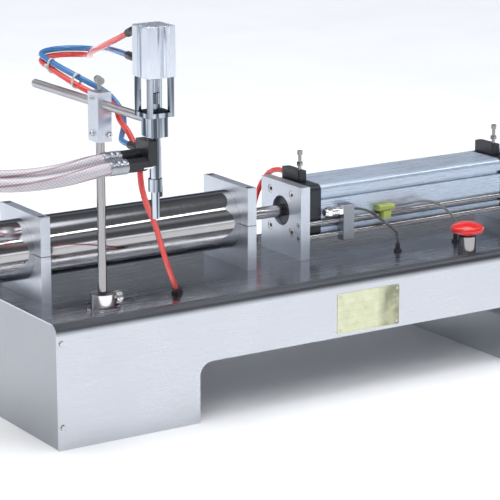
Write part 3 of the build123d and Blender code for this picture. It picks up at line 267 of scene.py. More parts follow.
def chrome_with_painted_reflections(name, dark, light):
    """Chromed bar with dark and light bands running up it, painted in as its streaky reflections."""
    material, tree, shader = shader_of(name)
    streak = noise(tree, 1.0, (170, 170, 5), detail=2.0, roughness=0.4)
    haze = noise(tree, 1.0, (900, 900, 12), detail=3.0)
    # The dark and light vertical bands are painted reflection.
    tree.links.new(two_tone(tree, streak, dark, light, 0.40, 0.60), shader.inputs["Base Color"])
    tree.links.new(ranged(tree, haze, 0.10, 0.22), shader.inputs["Roughness"])
    shader.inputs["Metallic"].default_value = 1.0
    shader.inputs["Specular Tint"].default_value = (0.25, 0.30, 0.36, 1)
    bumped(tree, shader, streak, 0.25, 0.0006)
    return material


def anodised(name, colour, grain=(500, 500, 500), smooth=0.28, rough=0.42):
    """Satin anodised aluminium: soft, with a fine blasted grain."""
    material, tree, shader = shader_of(name)
    pearl = noise(tree, 1.0, grain, detail=2.0)
    cloud = noise(tree, 18.0, detail=3.0)
    tint = two_tone(tree, cloud, shade(colour, 0.95), shade(colour, 1.04))
    tree.links.new(tint, shader.inputs["Base Color"])
    tree.links.new(ranged(tree, pearl, smooth, rough), shader.inputs["Roughness"])
    shader.inputs["Metallic"].default_value = 0.9
    bumped(tree, shader, pearl, 0.08, 0.0001)
    return material


def moulded(name, colour, smooth=0.30, rough=0.45, grain=900.0, coat=0.0, subsurface=0.0):
    """Moulded plastic or rubber: a faint skin grain and rubbed patches."""
    material, tree, shader = shader_of(name)
    skin = noise(tree, grain, detail=2.0)
    rubbed = noise(tree, 30.0, detail=3.0)
    tint = two_tone(tree, rubbed, shade(colour, 0.85), shade(colour, 1.12))
    tree.links.new(tint, shader.inputs["Base Color"])
    tree.links.new(ranged(tree, rubbed, smooth, rough), shader.inputs["Roughness"])
    shader.inputs["Coat Weight"].default_value = coat
    shader.inputs["Coat Roughness"].default_value = 0.12
    shader.inputs["Subsurface Weight"].default_value = subsurface
    shader.inputs["Subsurface Radius"].default_value = (0.004, 0.002, 0.001)
    bumped(tree, shader, skin, 0.12, 0.0002)
    return material


def painted(name, colour, smooth=0.28, rough=0.40):
    """Paint on metal: slight orange peel and dulled patches."""
    material, tree, shader = shader_of(name)
    peel = noise(tree, 260.0, detail=1.0)
    dull = noise(tree, 22.0, detail=4.0)
    tint = two_tone(tree, dull, shade(colour, 0.88), shade(colour, 1.10))
    tree.links.new(tint, shader.inputs["Base Color"])
    tree.links.new(ranged(tree, dull, smooth, rough), shader.inputs["Roughness"])
    bumped(tree, shader, peel, 0.06, 0.0003)
    return material


def braided_hose(name, colour):
    """Milky hose wall with two crossing families of threads and a pair of coloured tracer threads."""
    material, tree, shader = shader_of(name)
    where = node(tree, "SeparateXYZ", Vector=node(tree, "UVMap", {"uv_map": "along"}).outputs["UV"])
    length, turn = where.outputs["X"], where.outputs["Y"]

    def thread(lead, starts):
        along, around = maths(tree, "MULTIPLY", length, lead), maths(tree, "MULTIPLY", turn, starts)
        both = maths(tree, "ADD", along, around)
        wave = maths(tree, "SINE", both)
        smooth = {"interpolation_type": "SMOOTHSTEP"}
        return node(tree, "MapRange", smooth, i0=wave, i1=0.35, i2=0.95, i3=0.0, i4=1.0).outputs[0]

    cycle = 2 * math.pi
    threads_per_metre, thread_count = 210, 12
    right = thread(cycle * threads_per_metre, cycle * thread_count)
    left = thread(cycle * threads_per_metre, -cycle * thread_count)
    weave = maths(tree, "MAXIMUM", right, left)
    tracer = thread(cycle * 5, cycle * 3)
    fine = node(tree, "MapRange", i0=tracer, i1=0.90, i2=1.0, i3=0.0, i4=0.70).outputs[0]
    cloudy = two_tone(tree, noise(tree, 40.0), shade(colour, 0.88), shade(colour, 1.08))
    threads = node(tree, "Mix", {"data_type": "RGBA"})
    tree.links.new(weave, threads.inputs[0])
    tree.links.new(cloudy, threads.inputs[6])
    threads.inputs[7].default_value = (0.56, 0.54, 0.57, 1)
    traced = node(tree, "Mix", {"data_type": "RGBA"})
    tree.links.new(fine, traced.inputs[0])
    tree.links.new(threads.outputs[2], traced.inputs[6])
    traced.inputs[7].default_value = (0.22, 0.08, 0.09, 1)
    tree.links.new(traced.outputs[2], shader.inputs["Base Color"])
    tree.links.new(ranged(tree, weave, 0.20, 0.34, 0.0, 1.0), shader.inputs["Roughness"])
    shader.inputs["Subsurface Weight"].default_value = 0.25
    shader.inputs["Subsurface Radius"].default_value = (0.004, 0.003, 0.003)
    shader.inputs["Coat Weight"].default_value = 0.5
    shader.inputs["Coat Roughness"].default_value = 0.15
    bumped(tree, shader, weave, 0.35, 0.0004)
    return material


def air_tube(name, colour):
    """Glossy, slightly milky air tube, with a faint extrusion streak along it."""
    material, tree, shader = shader_of(name)
    where = node(tree, "SeparateXYZ", Vector=node(tree, "UVMap", {"uv_map": "along"}).outputs["UV"])
    along = maths(tree, "MULTIPLY", where.outputs["X"], 6.0)
    around = maths(tree, "MULTIPLY", where.outputs["Y"], 14.0)
    streaks = node(tree, "CombineXYZ", X=along, Y=around)
    grain = node(tree, "TexNoise", Vector=streaks.outputs[0], Scale=1.0, Detail=2.0).outputs["Fac"]
    tint = two_tone(tree, grain, shade(colour, 0.85), shade(colour, 1.15))
    tree.links.new(tint, shader.inputs["Base Color"])
    tree.links.new(ranged(tree, grain, 0.16, 0.28), shader.inputs["Roughness"])
    shader.inputs["Subsurface Weight"].default_value = 0.30
    shader.inputs["Subsurface Radius"].default_value = (0.003, 0.002, 0.002)
    shader.inputs["Coat Weight"].default_value = 0.4
    shader.inputs["Coat Roughness"].default_value = 0.10
    bumped(tree, shader, grain, 0.05, 0.0002)
    return material


def printed_plate(name, low, high):
    """Nameplate: cream field, a darker end panel and ruled lines, with no lettering."""
    material, tree, shader = shader_of(name)
    width, height = high[0] - low[0], high[2] - low[2]
    place = (-low[0] / width, 0, -low[2] / height)
    vector = coordinates(tree, (1 / width, 1, 1 / height), place)
    where = node(tree, "SeparateXYZ", Vector=vector)
    across, up = where.outputs["X"], where.outputs["Z"]
    panel = ranged(tree, across, 0.0, 1.0, 0.64, 0.80)
    line_count = 6
    wave = maths(tree, "SINE", maths(tree, "MULTIPLY", up, 2 * math.pi * line_count))
    line = maths(tree, "GREATER_THAN", wave, 0.93)
    worn = noise(tree, 60.0, detail=4.0)
    cream = two_tone(tree, worn, (0.66, 0.67, 0.44), (0.76, 0.78, 0.55))
    field = node(tree, "Mix", {"data_type": "RGBA"})
    tree.links.new(panel, field.inputs[0])
    tree.links.new(cream, field.inputs[6])
    stain = noise(tree, 45.0, detail=3.0)
    tree.links.new(two_tone(tree, stain, (0.26, 0.27, 0.17), (0.50, 0.50, 0.32), 0.40, 0.62), field.inputs[7])
    ruled = node(tree, "Mix", {"data_type": "RGBA"})
    tree.links.new(maths(tree, "MULTIPLY", line, 0.12), ruled.inputs[0])
    tree.links.new(field.outputs[2], ruled.inputs[6])
    ruled.inputs[7].default_value = (0.30, 0.29, 0.22, 1)
    tree.links.new(ruled.outputs[2], shader.inputs["Base Color"])
    tree.links.new(ranged(tree, worn, 0.25, 0.45), shader.inputs["Roughness"])
    shader.inputs["Metallic"].default_value = 0.2
    bumped(tree, shader, line, 0.15, 0.0002)
    return material


# ------------------------------------------------------------------ mesh helpers
def clear_selection():
    bpy.ops.object.select_all(action="DESELECT")


def settle(piece, name, material, body, angle=35):
    """Gives a finished piece its name, finish and body, with its place in its mesh."""
    clear_selection()
    piece.select_set(True)
    bpy.context.view_layer.objects.active = piece
    bpy.ops.object.transform_apply(location=True, rotation=True, scale=True)
    if angle:
        bpy.ops.object.shade_smooth_by_angle(angle=math.radians(angle))
    piece.name = name
    piece.data.name = name
    piece.data.materials.clear()
    piece.data.materials.append(material)
    if body:
        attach(piece, body)
    return piece


def rod(centre, direction, radius, length, sides=32):
    """A bar from centre along direction; a primitive for shaping."""
    clear_selection()
    along = Vector(direction).normalized()
    turn = along.to_track_quat("Z", "Y").to_euler()
    middle = Vector(centre) + along * length / 2
    bpy.ops.mesh.primitive_cylinder_add(
        vertices=sides, radius=radius, depth=length, location=middle, rotation=turn)
    return bpy.context.object


def bevel_all(piece, width, segments=2, limit=40):
    """Bevel modifier on the sharp edges, applied."""
    clear_selection()
    piece.select_set(True)
    bpy.context.view_layer.objects.active = piece
    modifier = piece.modifiers.new("edge", "BEVEL")
    modifier.width = width
    modifier.segments = segments
    modifier.limit_method = "ANGLE"
    modifier.angle_limit = math.radians(limit)
    bpy.ops.object.modifier_apply(modifier=modifier.name)


def cut(piece, cutter):
    """Takes cutter out of piece and removes the cutter."""
    clear_selection()
    piece.select_set(True)
    bpy.context.view_layer.objects.active = piece
    modifier = piece.modifiers.new("cut", "BOOLEAN")
    modifier.operation = "DIFFERENCE"
    modifier.solver = "EXACT"
    modifier.object = cutter
    bpy.ops.object.modifier_apply(modifier=modifier.name)
    bpy.data.objects.remove(cutter, do_unlink=True)


def join(pieces):
    """Joins pieces into the first one."""
    clear_selection()
    for piece in pieces:
        piece.select_set(True)
    bpy.context.view_layer.objects.active = pieces[0]
    bpy.ops.object.join()
    return bpy.context.object


def socket_screw(centre, direction, radius, height):
    """Cap screw head with a bevelled rim and a hexagon recess."""
    piece = rod(centre, direction, radius, height, sides=28)
    along = Vector(direction).normalized()
    bevel_all(piece, radius * 0.12)
    recess = rod(Vector(centre) + along * height * 0.45, direction, radius * 0.52, height, sides=6)
    cut(piece, recess)
    return piece


# ------------------------------------------------------------------ cords
def spline_points(points, steps):
    """Points read along the smooth curve through the route."""
    curve = bpy.data.curves.new("route", "CURVE")
    curve.dimensions = "3D"
    spline = curve.splines.new("NURBS")
    spline.points.add(len(points) - 1)
    for point, place in zip(spline.points, points):
        point.co = (*place, 1)
    spline.order_u = 3
    spline.use_endpoint_u = True
    spline.resolution_u = steps
    route = bpy.data.objects.new("route", curve)
    bpy.context.collection.objects.link(route)
    mesh = bpy.data.meshes.new_from_object(route)
    path = [vertex.co.copy() for vertex in mesh.vertices]
    bpy.data.objects.remove(route, do_unlink=True)
    bpy.data.curves.remove(curve)
    bpy.data.meshes.remove(mesh)
    return path


def tube_along(name, path, radius, sides):
    """Closed round tube along path, with UV x as metres along it and y as turns around it."""
    tangents = []
    for index in range(len(path)):
        before, after = path[max(index - 1, 0)], path[min(index + 1, len(path) - 1)]
        tangents.append((after - before).normalized())
    side = tangents[0].orthogonal().normalized()
    mesh = bmesh.new()
    layer = mesh.loops.layers.uv.new("along")
    rings, travelled = [], [0.0]
    for index, (point, tangent) in enumerate(zip(path, tangents)):
        side = (side - tangent * side.dot(tangent)).normalized()
        up = tangent.cross(side)
        if index:
            travelled.append(travelled[-1] + (point - path[index - 1]).length)
        ring = []
        for step in range(sides):
            angle = 2 * math.pi * step / sides
            ring.append(mesh.verts.new(point + (side * math.cos(angle) + up * math.sin(angle)) * radius))
        rings.append(ring)
    for index in range(len(rings) - 1):
        for step in range(sides):
            after = (step + 1) % sides
            near, far = rings[index], rings[index + 1]
            face = mesh.faces.new((near[step], near[after], far[after], far[step]))
            face.smooth = True
            places = ((index, step), (index, step + 1), (index + 1, step + 1), (index + 1, step))
            for loop, (at, turn) in zip(face.loops, places):
                loop[layer].uv = (travelled[at], turn / sides)
    for ring, flip in ((rings[0], True), (rings[-1], False)):
        cap = mesh.faces.new(list(reversed(ring)) if flip else ring)
        for loop in cap.loops:
            loop[layer].uv = (0.0, 0.0)
    bmesh.ops.recalc_face_normals(mesh, faces=mesh.faces)
    data = bpy.data.meshes.new(name)
    mesh.to_mesh(data)
    mesh.free()
    tube = bpy.data.objects.new(name, data)
    bpy.context.collection.objects.link(tube)
    return tube


def lay_cord(name, cad_node, points, diameter, material, body=None,
             sides=16):
    """A cord along its route that replaces its CAD bar; it rides on a body, or stays where it is laid when no
    body is given.
    """
    path = spline_points(points, CORD_STEPS)
    cord = tube_along(name, path, diameter / 2, sides)
    cord.data.materials.append(material)
    if body:
        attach(cord, body)
    else:
        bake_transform(cord)
    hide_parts(cad_node)
    return cord


# ------------------------------------------------------------------ operators
class FILLER_OT_sheet_metal(bpy.types.Operator):
    """Finish the base: shell, end panels, liner, soles, screws and nameplate"""

    bl_idname = "filler.sheet_metal"
    bl_label = "Finish the base"

    def execute(self, context):
        colours = context.scene.filler_colours
        shell = brushed_steel("brushed shell", colours.steel, (10, 1100, 1100), 0.16, 0.30)
        # The dark bands along the two bends of the sheet are painted reflection.
        paint_dark_bend_reflection(shell, *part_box("base_shell"))
        # The end panels are the shell's steel made darker: painted shade of the machine's sides.
        panel = brushed_steel("brushed end panel with painted shade", shade(colours.steel, 0.68), (900, 900, 9), 0.30, 0.44)
        liner = brushed_steel("brushed liner", shade(colours.steel, 0.9), (9, 900, 900), 0.30, 0.45)
        dress("base_shell", shell)
        dress("left_end_panel", panel)
        dress("right_end_panel", panel)
        dress("arch_liner", liner)
        dress("foot_soles", liner)
        zinc = polished_steel("zinc screws", (0.60, 0.60, 0.60), (300, 300, 300), 0.20, 0.34)
        for name in ("panel_screws", "clamp_screws", "mount_plate_screws"):
            dress(name, zinc)
        low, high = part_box("nameplate")
        dress("nameplate", printed_plate("printed nameplate", low, high))
        return {"FINISHED"}


def paint_dark_bend_reflection(material, low, high):
    """Paints a dark reflection along the two long bends of the folded sheet and makes them rougher: the dark
    colour there is painted reflection.
    """
    tree = material.node_tree
    shader = next(found for found in tree.nodes if found.type == "BSDF_PRINCIPLED")
    where = node(tree, "SeparateXYZ", Vector=coordinates(tree))
    middle, half_depth = (low[1] + high[1]) / 2, (high[1] - low[1]) / 2
    aside = maths(tree, "ABSOLUTE", maths(tree, "SUBTRACT", where.outputs["Y"], middle))
    both = maths(tree, "ADD", aside, where.outputs["Z"])
    inward = maths(tree, "SUBTRACT", half_depth + high[2], both)
    away_from_bends = ranged(tree, inward, 0.0, 1.0, BEND_RADIUS * 0.62, BEND_RADIUS * 1.35)
    # Near the bends the colour goes to a painted dark reflection and the roughness goes to 0.42.
    for socket, dulled in (("Base Color", (0.085, 0.090, 0.100, 1)), ("Roughness", 0.42)):
        kept = shader.inputs[socket].links[0].from_socket
        if socket == "Base Color":
            mix = node(tree, "Mix", {"data_type": "RGBA"})
            tree.links.new(away_from_bends, mix.inputs[0])
            mix.inputs[6].default_value = dulled
            tree.links.new(kept, mix.inputs[7])
            tree.links.new(mix.outputs[2], shader.inputs[socket])
        else:
            mix = node(tree, "Mix")
            tree.links.new(away_from_bends, mix.inputs[0])
            mix.inputs[2].default_value = dulled
            tree.links.new(kept, mix.inputs[3])
            tree.links.new(mix.outputs[0], shader.inputs[socket])


def dress(name, material):
    """Puts a material on a CAD node."""
    for slot in nodes[name].material_slots:
        slot.material = material


class FILLER_OT_machined(bpy.types.Operator):
    """Finish the cylinders, clamps, valve, rods, plates and switches"""

    bl_idname = "filler.machined"
    bl_label = "Finish the machined parts"

    def execute(self, context):
        colours = context.scene.filler_colours
        polished = polished_steel("polished tube", colours.polished, (700, 5, 5), 0.06, 0.13)
        upright = polished_steel("polished rods", shade(colours.polished, 0.88), (7, 7, 500), 0.08, 0.16)
        rod_colour = shade(colours.polished, 0.95)
        ground = polished_steel("ground rods", rod_colour, (5, 400, 400), 0.20, 0.28, marks=0.005)
        satin_rod = polished_steel("satin arm", shade(colours.polished, 1.45), (500, 7, 500), 0.30, 0.42)
        # Standoffs, plug rod and nozzle parts get chrome with painted reflection bands.
        reflection_banded_chrome = chrome_with_painted_reflections("chrome with painted reflection bands", (0.07, 0.09, 0.11), (0.58, 0.62, 0.68))
        turned = brushed_steel("turned steel", shade(colours.polished, 1.22), (700, 8, 8), 0.16, 0.30)
        bright_colour = shade(colours.polished, 1.95)
        bright = polished_steel("bright turned steel", bright_colour, (60, 60, 300), 0.10, 0.22)
        clamp = anodised("light clamp aluminium", shade(colours.aluminium, 1.02))
        satin = anodised("satin aluminium", shade(colours.aluminium, 1.04))
        barrel = brushed_steel("drawn barrel", (0.50, 0.58, 0.69), (14, 500, 500), 0.24, 0.38, metallic=0.5)
        black = painted("black caps", (0.010, 0.015, 0.024))
        finishes = {
            polished: "metering_tube",
            ground: "piston_rod switch_rails",
            upright: "post stop_button_neck",
            satin_rod: "arm",
            reflection_banded_chrome: "standoffs plug_rod nozzle_block nozzle_body nozzle_tip",
            bright: "post_flange lock_knob home_switch",
            turned: "tube_left_head rod_gland valve_body suction_spigot outlet_manifold inlet_ball "
                    "outlet_ball metering_piston air_piston",
            clamp: "left_clamp_lower left_clamp_upper right_clamp_lower right_clamp_upper",
            satin: "front_mount_plate rear_mount_plate bracket",
            anodised("grey rail bracket", shade(colours.aluminium, 0.50)): "rail_bracket",
            polished_steel("needle steel", (0.34, 0.33, 0.30), (300, 300, 300), 0.18, 0.32):
                "front_speed_screw rear_speed_screw wing_screw",
            barrel: "cylinder_barrel",
            black: "front_end_cap rear_end_cap",
            moulded("black fittings", (0.015, 0.015, 0.018), 0.24, 0.40):
                "speed_controllers head_fittings deck_fittings",
            moulded("seal rubber", (0.02, 0.02, 0.02), 0.55, 0.75): "piston_seals",
            moulded("red mushroom", colours.button, 0.16, 0.28, coat=0.6, subsurface=0.05):
                "stop_button_head",
            moulded("green switch body", (0.36, 0.42, 0.10), 0.30, 0.42): "stroke_switch",
        }
        for material, names in finishes.items():
            for name in names.split():
                dress(name, material)
        return {"FINISHED"}


class FILLER_OT_actuator(bpy.types.Operator):
    """Build the nozzle actuator: an extruded body with slots, and screw recesses on top"""

    bl_idname = "filler.actuator"
    bl_label = "Build the actuator"

    def execute(self, context):
        low, high = (Vector(corner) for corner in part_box("actuator_body"))
        centre, size = (low + high) / 2, high - low
        clear_selection()
        bpy.ops.mesh.primitive_cube_add(size=1, location=centre, scale=size)
        body = bpy.context.object
        bpy.ops.object.transform_apply(location=True, rotation=True, scale=True)
        bevel_all(body, 2.5 * MM, 4)
        slot_depth, slot_width, lip = 4 * MM, 5.5 * MM, 1.2 * MM
        for axis, sign in ((0, -1), (0, 1), (1, -1), (1, 1)):
            for width, depth in ((slot_width * 2.4, lip), (slot_width, slot_depth)):
                place = centre.copy()
                place[axis] = (low if sign < 0 else high)[axis] - sign * (depth / 2 - MM / 2)
                scale = Vector((width, width, size.z * 1.2))
                scale[axis] = depth + MM
                clear_selection()
                bpy.ops.mesh.primitive_cube_add(size=1, location=place, scale=scale)
                cut(body, bpy.context.object)
        for dx in (-1, 1):
            for dy in (-1, 1):
                top = Vector((centre.x + dx * 15.5 * MM, centre.y + dy * 15.5 * MM, high.z - 3 * MM))
                cut(body, rod(top, (0, 0, 1), 3.6 * MM, 6 * MM, 28))
        bevel_all(body, 0.35 * MM, 1)
        body_colour = shade(context.scene.filler_colours.aluminium, 1.18)
        aluminium = anodised("extruded aluminium", body_colour, (300, 300, 9), 0.24, 0.38)
        settle(body, "actuator_extrusion", aluminium, "nozzle_stand", 30)
        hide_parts("actuator_body")
        screws = []
        for dx in (-1, 1):
            for dy in (-1, 1):
                place = (centre.x + dx * 15.5 * MM, centre.y + dy * 15.5 * MM, high.z - 3.2 * MM)
                screws.append(socket_screw(place, (0, 0, 1), 3.3 * MM, 2.6 * MM))
        dark = painted("blackened screws", (0.05, 0.05, 0.055), 0.25, 0.4)
        settle(join(screws), "actuator_screws", dark, "nozzle_stand")
        return {"FINISHED"}


class FILLER_OT_product_hoses(bpy.types.Operator):
    """Lay the two braided product hoses with their crimped ferrules"""

    bl_idname = "filler.product_hoses"
    bl_label = "Lay the product hoses"

    def execute(self, context):
        sizes = context.scene.filler_sizes
        braid = braided_hose("braided hose", context.scene.filler_colours.hose)
        chrome = anodised("crimped ferrule", (0.40, 0.41, 0.44), (300, 300, 300), 0.24, 0.36)
        for name, cad_node, points, length in (
            ("product_hose_a", "product_hose_front", FRONT_HOSE, 0.405),
            ("product_hose_b", "product_hose_rear", REAR_HOSE, 0.376),
        ):
            lay_cord(name, cad_node, points, sizes.hose_diameter, braid,
                     sides=28)
            start, end = Vector(points[0]), Vector(points[-1])
            away = (Vector(points[1]) - start).normalized()
            back = (Vector(points[-2]) - end).normalized()
            for tag, place, along, body, reach in (
                ("nozzle", start, away, "nozzle_stand", 26 * MM),
                ("outlet", end, back, "machine", 20 * MM),
            ):
                sleeve = ferrule(place, along, sizes.hose_diameter / 2, reach)
                settle(sleeve, f"{name}_{tag}_ferrule", chrome, body, 50)
        return {"FINISHED"}


def ferrule(place, along, hose_radius, reach):
    """Crimped sleeve with two pressed grooves: shares of its length, and how proud of the hose in mm."""
    profile = [
        (0.0, 0.75), (0.06, 0.95), (0.20, 0.95), (0.24, 0.60), (0.32, 0.60), (0.36, 0.95),
        (0.50, 0.95), (0.54, 0.60), (0.62, 0.60), (0.66, 0.95), (0.94, 0.95), (1.0, 0.75),
    ]
    clear_selection()
    turn = along.to_track_quat("Z", "Y")
    first_radius = hose_radius + profile[0][1] * MM
    bpy.ops.mesh.primitive_circle_add(vertices=40, radius=first_radius, fill_type="NOTHING")
    shell = bpy.context.object
    bpy.ops.object.mode_set(mode="EDIT")
    bpy.ops.mesh.select_all(action="SELECT")
    before = profile[0]
    for share, proud in profile[1:]:
        bpy.ops.mesh.extrude_edges_move(TRANSFORM_OT_translate={"value": (0, 0, (share - before[0]) * reach)})
        grow = (hose_radius + proud * MM) / (hose_radius + before[1] * MM)
        bpy.ops.transform.resize(value=(grow, grow, 1), center_override=(0, 0, share * reach))
        before = (share, proud)
    bpy.ops.object.mode_set(mode="OBJECT")
    wall = shell.modifiers.new("wall", "SOLIDIFY")
    wall.thickness = 0.6 * MM
    wall.offset = -1
    bpy.ops.object.modifier_apply(modifier=wall.name)
    bpy.ops.object.mode_set(mode="EDIT")
    bpy.ops.mesh.select_all(action="SELECT")
    bpy.ops.mesh.normals_make_consistent(inside=False)
    bpy.ops.object.mode_set(mode="OBJECT")
    shell.rotation_euler = turn.to_euler()
    shell.location = place
    return shell


class FILLER_OT_air_tubes(bpy.types.Operator):
    """Lay the red, blue and supply air tubes and tie them"""

    bl_idname = "filler.air_tubes"
    bl_label = "Lay the air tubes"

    def execute(self, context):
        sizes, colours = context.scene.filler_sizes, context.scene.filler_colours
        red = air_tube("red air tube", colours.red)
        blue = air_tube("blue air tube", colours.blue)
        wide = sizes.tube_diameter
        lay_cord("red_tube", "red_air_tube", RED_TUBE, wide, red)
        lay_cord("blue_tube", "blue_air_tube", BLUE_TUBE, wide, blue,
                 body="nozzle_stand")
        lay_cord("controller_tube", "supply_tube", SUPPLY_TUBE, wide, red,
                 body="machine")
        tie = moulded("natural nylon tie", (0.55, 0.55, 0.52), 0.3, 0.45)
        for name, place, along, half_width, half_height in (
            ("rear_tie", (-0.0213, 0.0215, 0.4958), (0, 1, 0.18), 4.9 * MM, 9.6 * MM),
            ("front_tie", (-0.0155, -0.040, 0.4830), (0.18, -1, -0.25), 7.0 * MM, 9.8 * MM),
        ):
            strap = cable_tie(place, along, half_width, half_height)
            settle(strap, name, tie, "nozzle_stand", 50)
        return {"FINISHED"}


def cable_tie(place, along, half_width, half_height):
    """Flat strap drawn round two tubes, with its square head."""
    clear_selection()
    turn = Vector(along).normalized().to_track_quat("Z", "Y")
    bpy.ops.mesh.primitive_cylinder_add(vertices=40, radius=1, depth=3.4 * MM, end_fill_type="NOTHING")
    strap = bpy.context.object
    strap.scale = (half_width, half_height, 1)
    bpy.ops.object.transform_apply(location=False, rotation=False, scale=True)
    wall = strap.modifiers.new("wall", "SOLIDIFY")
    wall.thickness = 1.1 * MM
    wall.offset = 1
    bpy.ops.object.modifier_apply(modifier=wall.name)
    head_place, head_size = (half_width + 2.4 * MM, 0, 0), (4.6 * MM, 5 * MM, 4.8 * MM)
    bpy.ops.mesh.primitive_cube_add(size=1, location=head_place, scale=head_size)
    head = bpy.context.object
    bpy.ops.object.transform_apply(location=True, rotation=True, scale=True)
    bevel_all(head, 0.5 * MM, 2)
    whole = join([strap, head])
    whole.rotation_euler = turn.to_euler()
    whole.location = place
    return whole


class FILLER_OT_leads(bpy.types.Operator):
    """Lay the leads of the two switches"""

    bl_idname = "filler.leads"
    bl_label = "Lay the switch leads"

    def execute(self, context):
        sizes = context.scene.filler_sizes
        grey = air_tube("grey lead", (0.16, 0.16, 0.15))
        dark = air_tube("dark lead", (0.05, 0.05, 0.055))
        lay_cord("stroke_lead", "switch_lead", SWITCH_LEAD, sizes.lead_diameter, grey,
                 sides=12)
        lay_cord("home_switch_lead", "home_lead", HOME_LEAD, sizes.lead_diameter, dark,
                 body="machine", sides=12)
        return {"FINISHED"}


class FILLER_OT_head_trim(bpy.types.Operator):
    """Build the nozzle head's guide pin, clamp plate and the bracket's screws"""

    bl_idname = "filler.head_trim"
    bl_label = "Build the nozzle head trim"

    def execute(self, context):
        chrome = polished_steel("chromed trim", (0.80, 0.80, 0.81), (200, 200, 300), 0.06, 0.15)
        # This black material colours only the sleeve below the guide pin, which is painted shadow.
        rubber = moulded("black sleeve for painted shadow", (0.03, 0.03, 0.032), 0.4, 0.6)
        zinc = polished_steel("bright screws", (0.66, 0.66, 0.66), (300, 300, 300), 0.16, 0.30)
        block_low, block_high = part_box("nozzle_block")
        tip_low, tip_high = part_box("nozzle_tip")
        pin_x = (block_low[0] + block_high[0]) / 2 + 10.5 * MM
        pin_y = (block_low[1] + block_high[1]) / 2 + 7 * MM
        pin_length = block_low[2] - tip_high[2] + 13 * MM
        pin = rod((pin_x, pin_y, tip_high[2] - 13 * MM), (0, 0, 1), 3 * MM, pin_length)
        bevel_all(pin, 0.5 * MM)
        settle(pin, "guide_pin", chrome, "nozzle_stand")
        # The black sleeve below the guide pin is painted shadow: a dark piece standing where there is only
        # shade.
        sleeve = rod((pin_x, pin_y, tip_high[2] - 27 * MM), (0, 0, 1), 4 * MM, 14.5 * MM)
        bevel_all(sleeve, 0.8 * MM, 3)
        settle(sleeve, "guide_pin_shadow_sleeve", rubber, "nozzle_stand")
        clear_selection()
        place = (block_low[0] - 0.25 * MM, (block_low[1] + block_high[1]) / 2, block_low[2] - 36.4 * MM)
        bpy.ops.mesh.primitive_cube_add(size=1, location=place, scale=(14 * MM, 38 * MM, 2.6 * MM))
        plate = bpy.context.object
        bpy.ops.object.transform_apply(location=True, rotation=True, scale=True)
        bevel_all(plate, 0.5 * MM, 2)
        settle(plate, "inlet_plate", chrome, "nozzle_stand")
        low, high = (Vector(corner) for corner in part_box("bracket"))
        middle = (low + high) / 2
        screws = [
            socket_screw((high.x - 5 * MM, low.y, low.z + 10 * MM), (0, -1, 0), 4 * MM, 3.6 * MM),
            socket_screw((low.x, middle.y, low.z + 12 * MM), (-1, 0, 0), 4 * MM, 3.6 * MM),
            socket_screw((high.x, middle.y, low.z + 12 * MM), (1, 0, 0), 4 * MM, 3.6 * MM),
            socket_screw((low.x, middle.y, high.z - 8 * MM), (-1, 0, 0), 3 * MM, 3 * MM),
        ]
        settle(join(screws), "bracket_screws", zinc, "nozzle_stand")
        return {"FINISHED"}


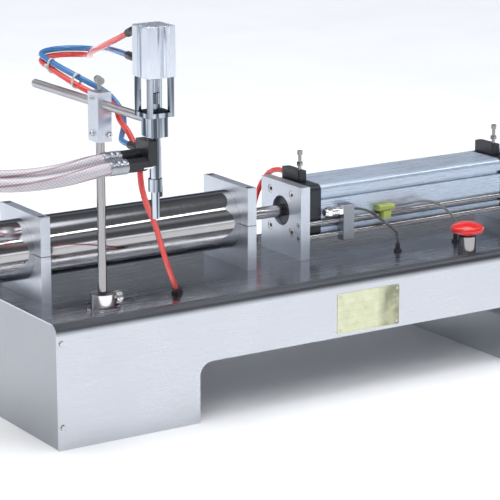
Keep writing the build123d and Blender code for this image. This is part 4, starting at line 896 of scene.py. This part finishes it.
class FILLER_OT_stage(bpy.types.Operator):
    """Build the pale floor, the soft lights, the sky and the camera"""

    bl_idname = "filler.stage"
    bl_label = "Build the stage"

    def execute(self, context):
        sizes = context.scene.filler_sizes
        clear_selection()
        bpy.ops.mesh.primitive_plane_add(size=sizes.floor_size, location=(0, 0, 0))
        floor = bpy.context.object
        floor.name = "floor"
        material, tree, shader = shader_of("pale floor")
        tint = two_tone(tree, noise(tree, 3.0), (0.90, 0.90, 0.90), (0.93, 0.93, 0.93))
        tree.links.new(tint, shader.inputs["Base Color"])
        shader.inputs["Roughness"].default_value = 0.9
        shader.inputs["Specular IOR Level"].default_value = 0.1
        floor.data.materials.append(material)

        world = bpy.data.worlds.new("studio")
        context.scene.world = world
        world.use_nodes = True
        tree = world.node_tree
        background = tree.nodes["Background"]
        height = node(tree, "SeparateXYZ", Vector=node(tree, "TexCoord").outputs["Generated"]).outputs["Z"]
        ramp = node(tree, "ValToRGB", Fac=height)
        stops = ramp.color_ramp.elements
        stops[0].position, stops[0].color = 0.0, (0.55, 0.56, 0.60, 1)
        stops[1].position, stops[1].color = 1.0, (1.0, 1.0, 1.0, 1)
        sky_bands = ((0.10, 0.045), (0.34, 0.032), (0.48, 0.12), (0.62, 0.030), (0.87, 0.05), (0.91, 0.85))
        for position, level in sky_bands:
            stop = stops.new(position)
            stop.color = (level * 0.93, level * 0.98, level * 1.08, 1)
        tree.links.new(ramp.outputs["Color"], background.inputs["Color"])
        background.inputs["Strength"].default_value = 4.0

        for name, place, aim, width, depth, power in (
            ("key", (-2.0, -2.4, 3.0), (0.3, 0.0, 0.2), 2.0, 2.0, 46),
            ("back soft box", (-1.2, 1.4, 3.0), (0.3, 0.0, 0.2), 2.0, 2.0, 34),
            ("strip", (1.5, -1.25, 2.0), (0.2, 0.0, 0.24), 3.0, 0.14, 14),
        ):
            light = bpy.data.lights.new(name, "AREA")
            light.shape = "RECTANGLE"
            light.size = width
            light.size_y = depth
            light.energy = power
            lamp = bpy.data.objects.new(name, light)
            context.collection.objects.link(lamp)
            lamp.location = place
            lamp.rotation_euler = (Vector(aim) - Vector(place)).to_track_quat("-Z", "Y").to_euler()
        context.scene.view_settings.view_transform = "Standard"

        camera_data = bpy.data.cameras.new("camera")
        camera_data.sensor_width = 36
        camera_data.lens = 166.6
        camera_data.clip_end = 100
        camera = bpy.data.objects.new("camera", camera_data)
        context.collection.objects.link(camera)
        heading = math.radians(-28.290)
        aside, back = sizes.view_distance * math.sin(heading), sizes.view_distance * math.cos(heading)
        camera.location = (aside, -back, sizes.view_height)
        look_down, look_aside = 14.2, -32.73
        camera.rotation_euler = (math.radians(90 - look_down), 0, math.radians(look_aside))
        context.scene.camera = camera
        return {"FINISHED"}


OPERATORS = (
    FILLER_OT_stage,
    FILLER_OT_sheet_metal,
    FILLER_OT_machined,
    FILLER_OT_product_hoses,
    FILLER_OT_air_tubes,
    FILLER_OT_leads,
    FILLER_OT_actuator,
    FILLER_OT_head_trim,
)


class FILLER_PT_panel(bpy.types.Panel):
    """Sidebar panel with the filler's settings and steps"""

    bl_idname = "FILLER_PT_panel"
    bl_label = "Piston liquid filler"
    bl_space_type = "VIEW_3D"
    bl_region_type = "UI"
    bl_category = "Filler"

    def draw(self, context):
        for group in (context.scene.filler_sizes, context.scene.filler_colours):
            box = self.layout.box()
            for key in group.__annotations__:
                box.prop(group, key)
        for operator in OPERATORS:
            self.layout.operator(operator.bl_idname)


CLASSES = (FillerSizes, FillerColours, *OPERATORS, FILLER_PT_panel)


def register():
    for cls in CLASSES:
        bpy.utils.register_class(cls)
    bpy.types.Scene.filler_sizes = bpy.props.PointerProperty(type=FillerSizes)
    bpy.types.Scene.filler_colours = bpy.props.PointerProperty(type=FillerColours)


def unregister():
    del bpy.types.Scene.filler_colours
    del bpy.types.Scene.filler_sizes
    for cls in reversed(CLASSES):
        bpy.utils.unregister_class(cls)


def main():
    register()
    for operator in OPERATORS:
        group, name = operator.bl_idname.split(".")
        getattr(getattr(bpy.ops, group), name)()


if __name__ == "__main__":
    main()
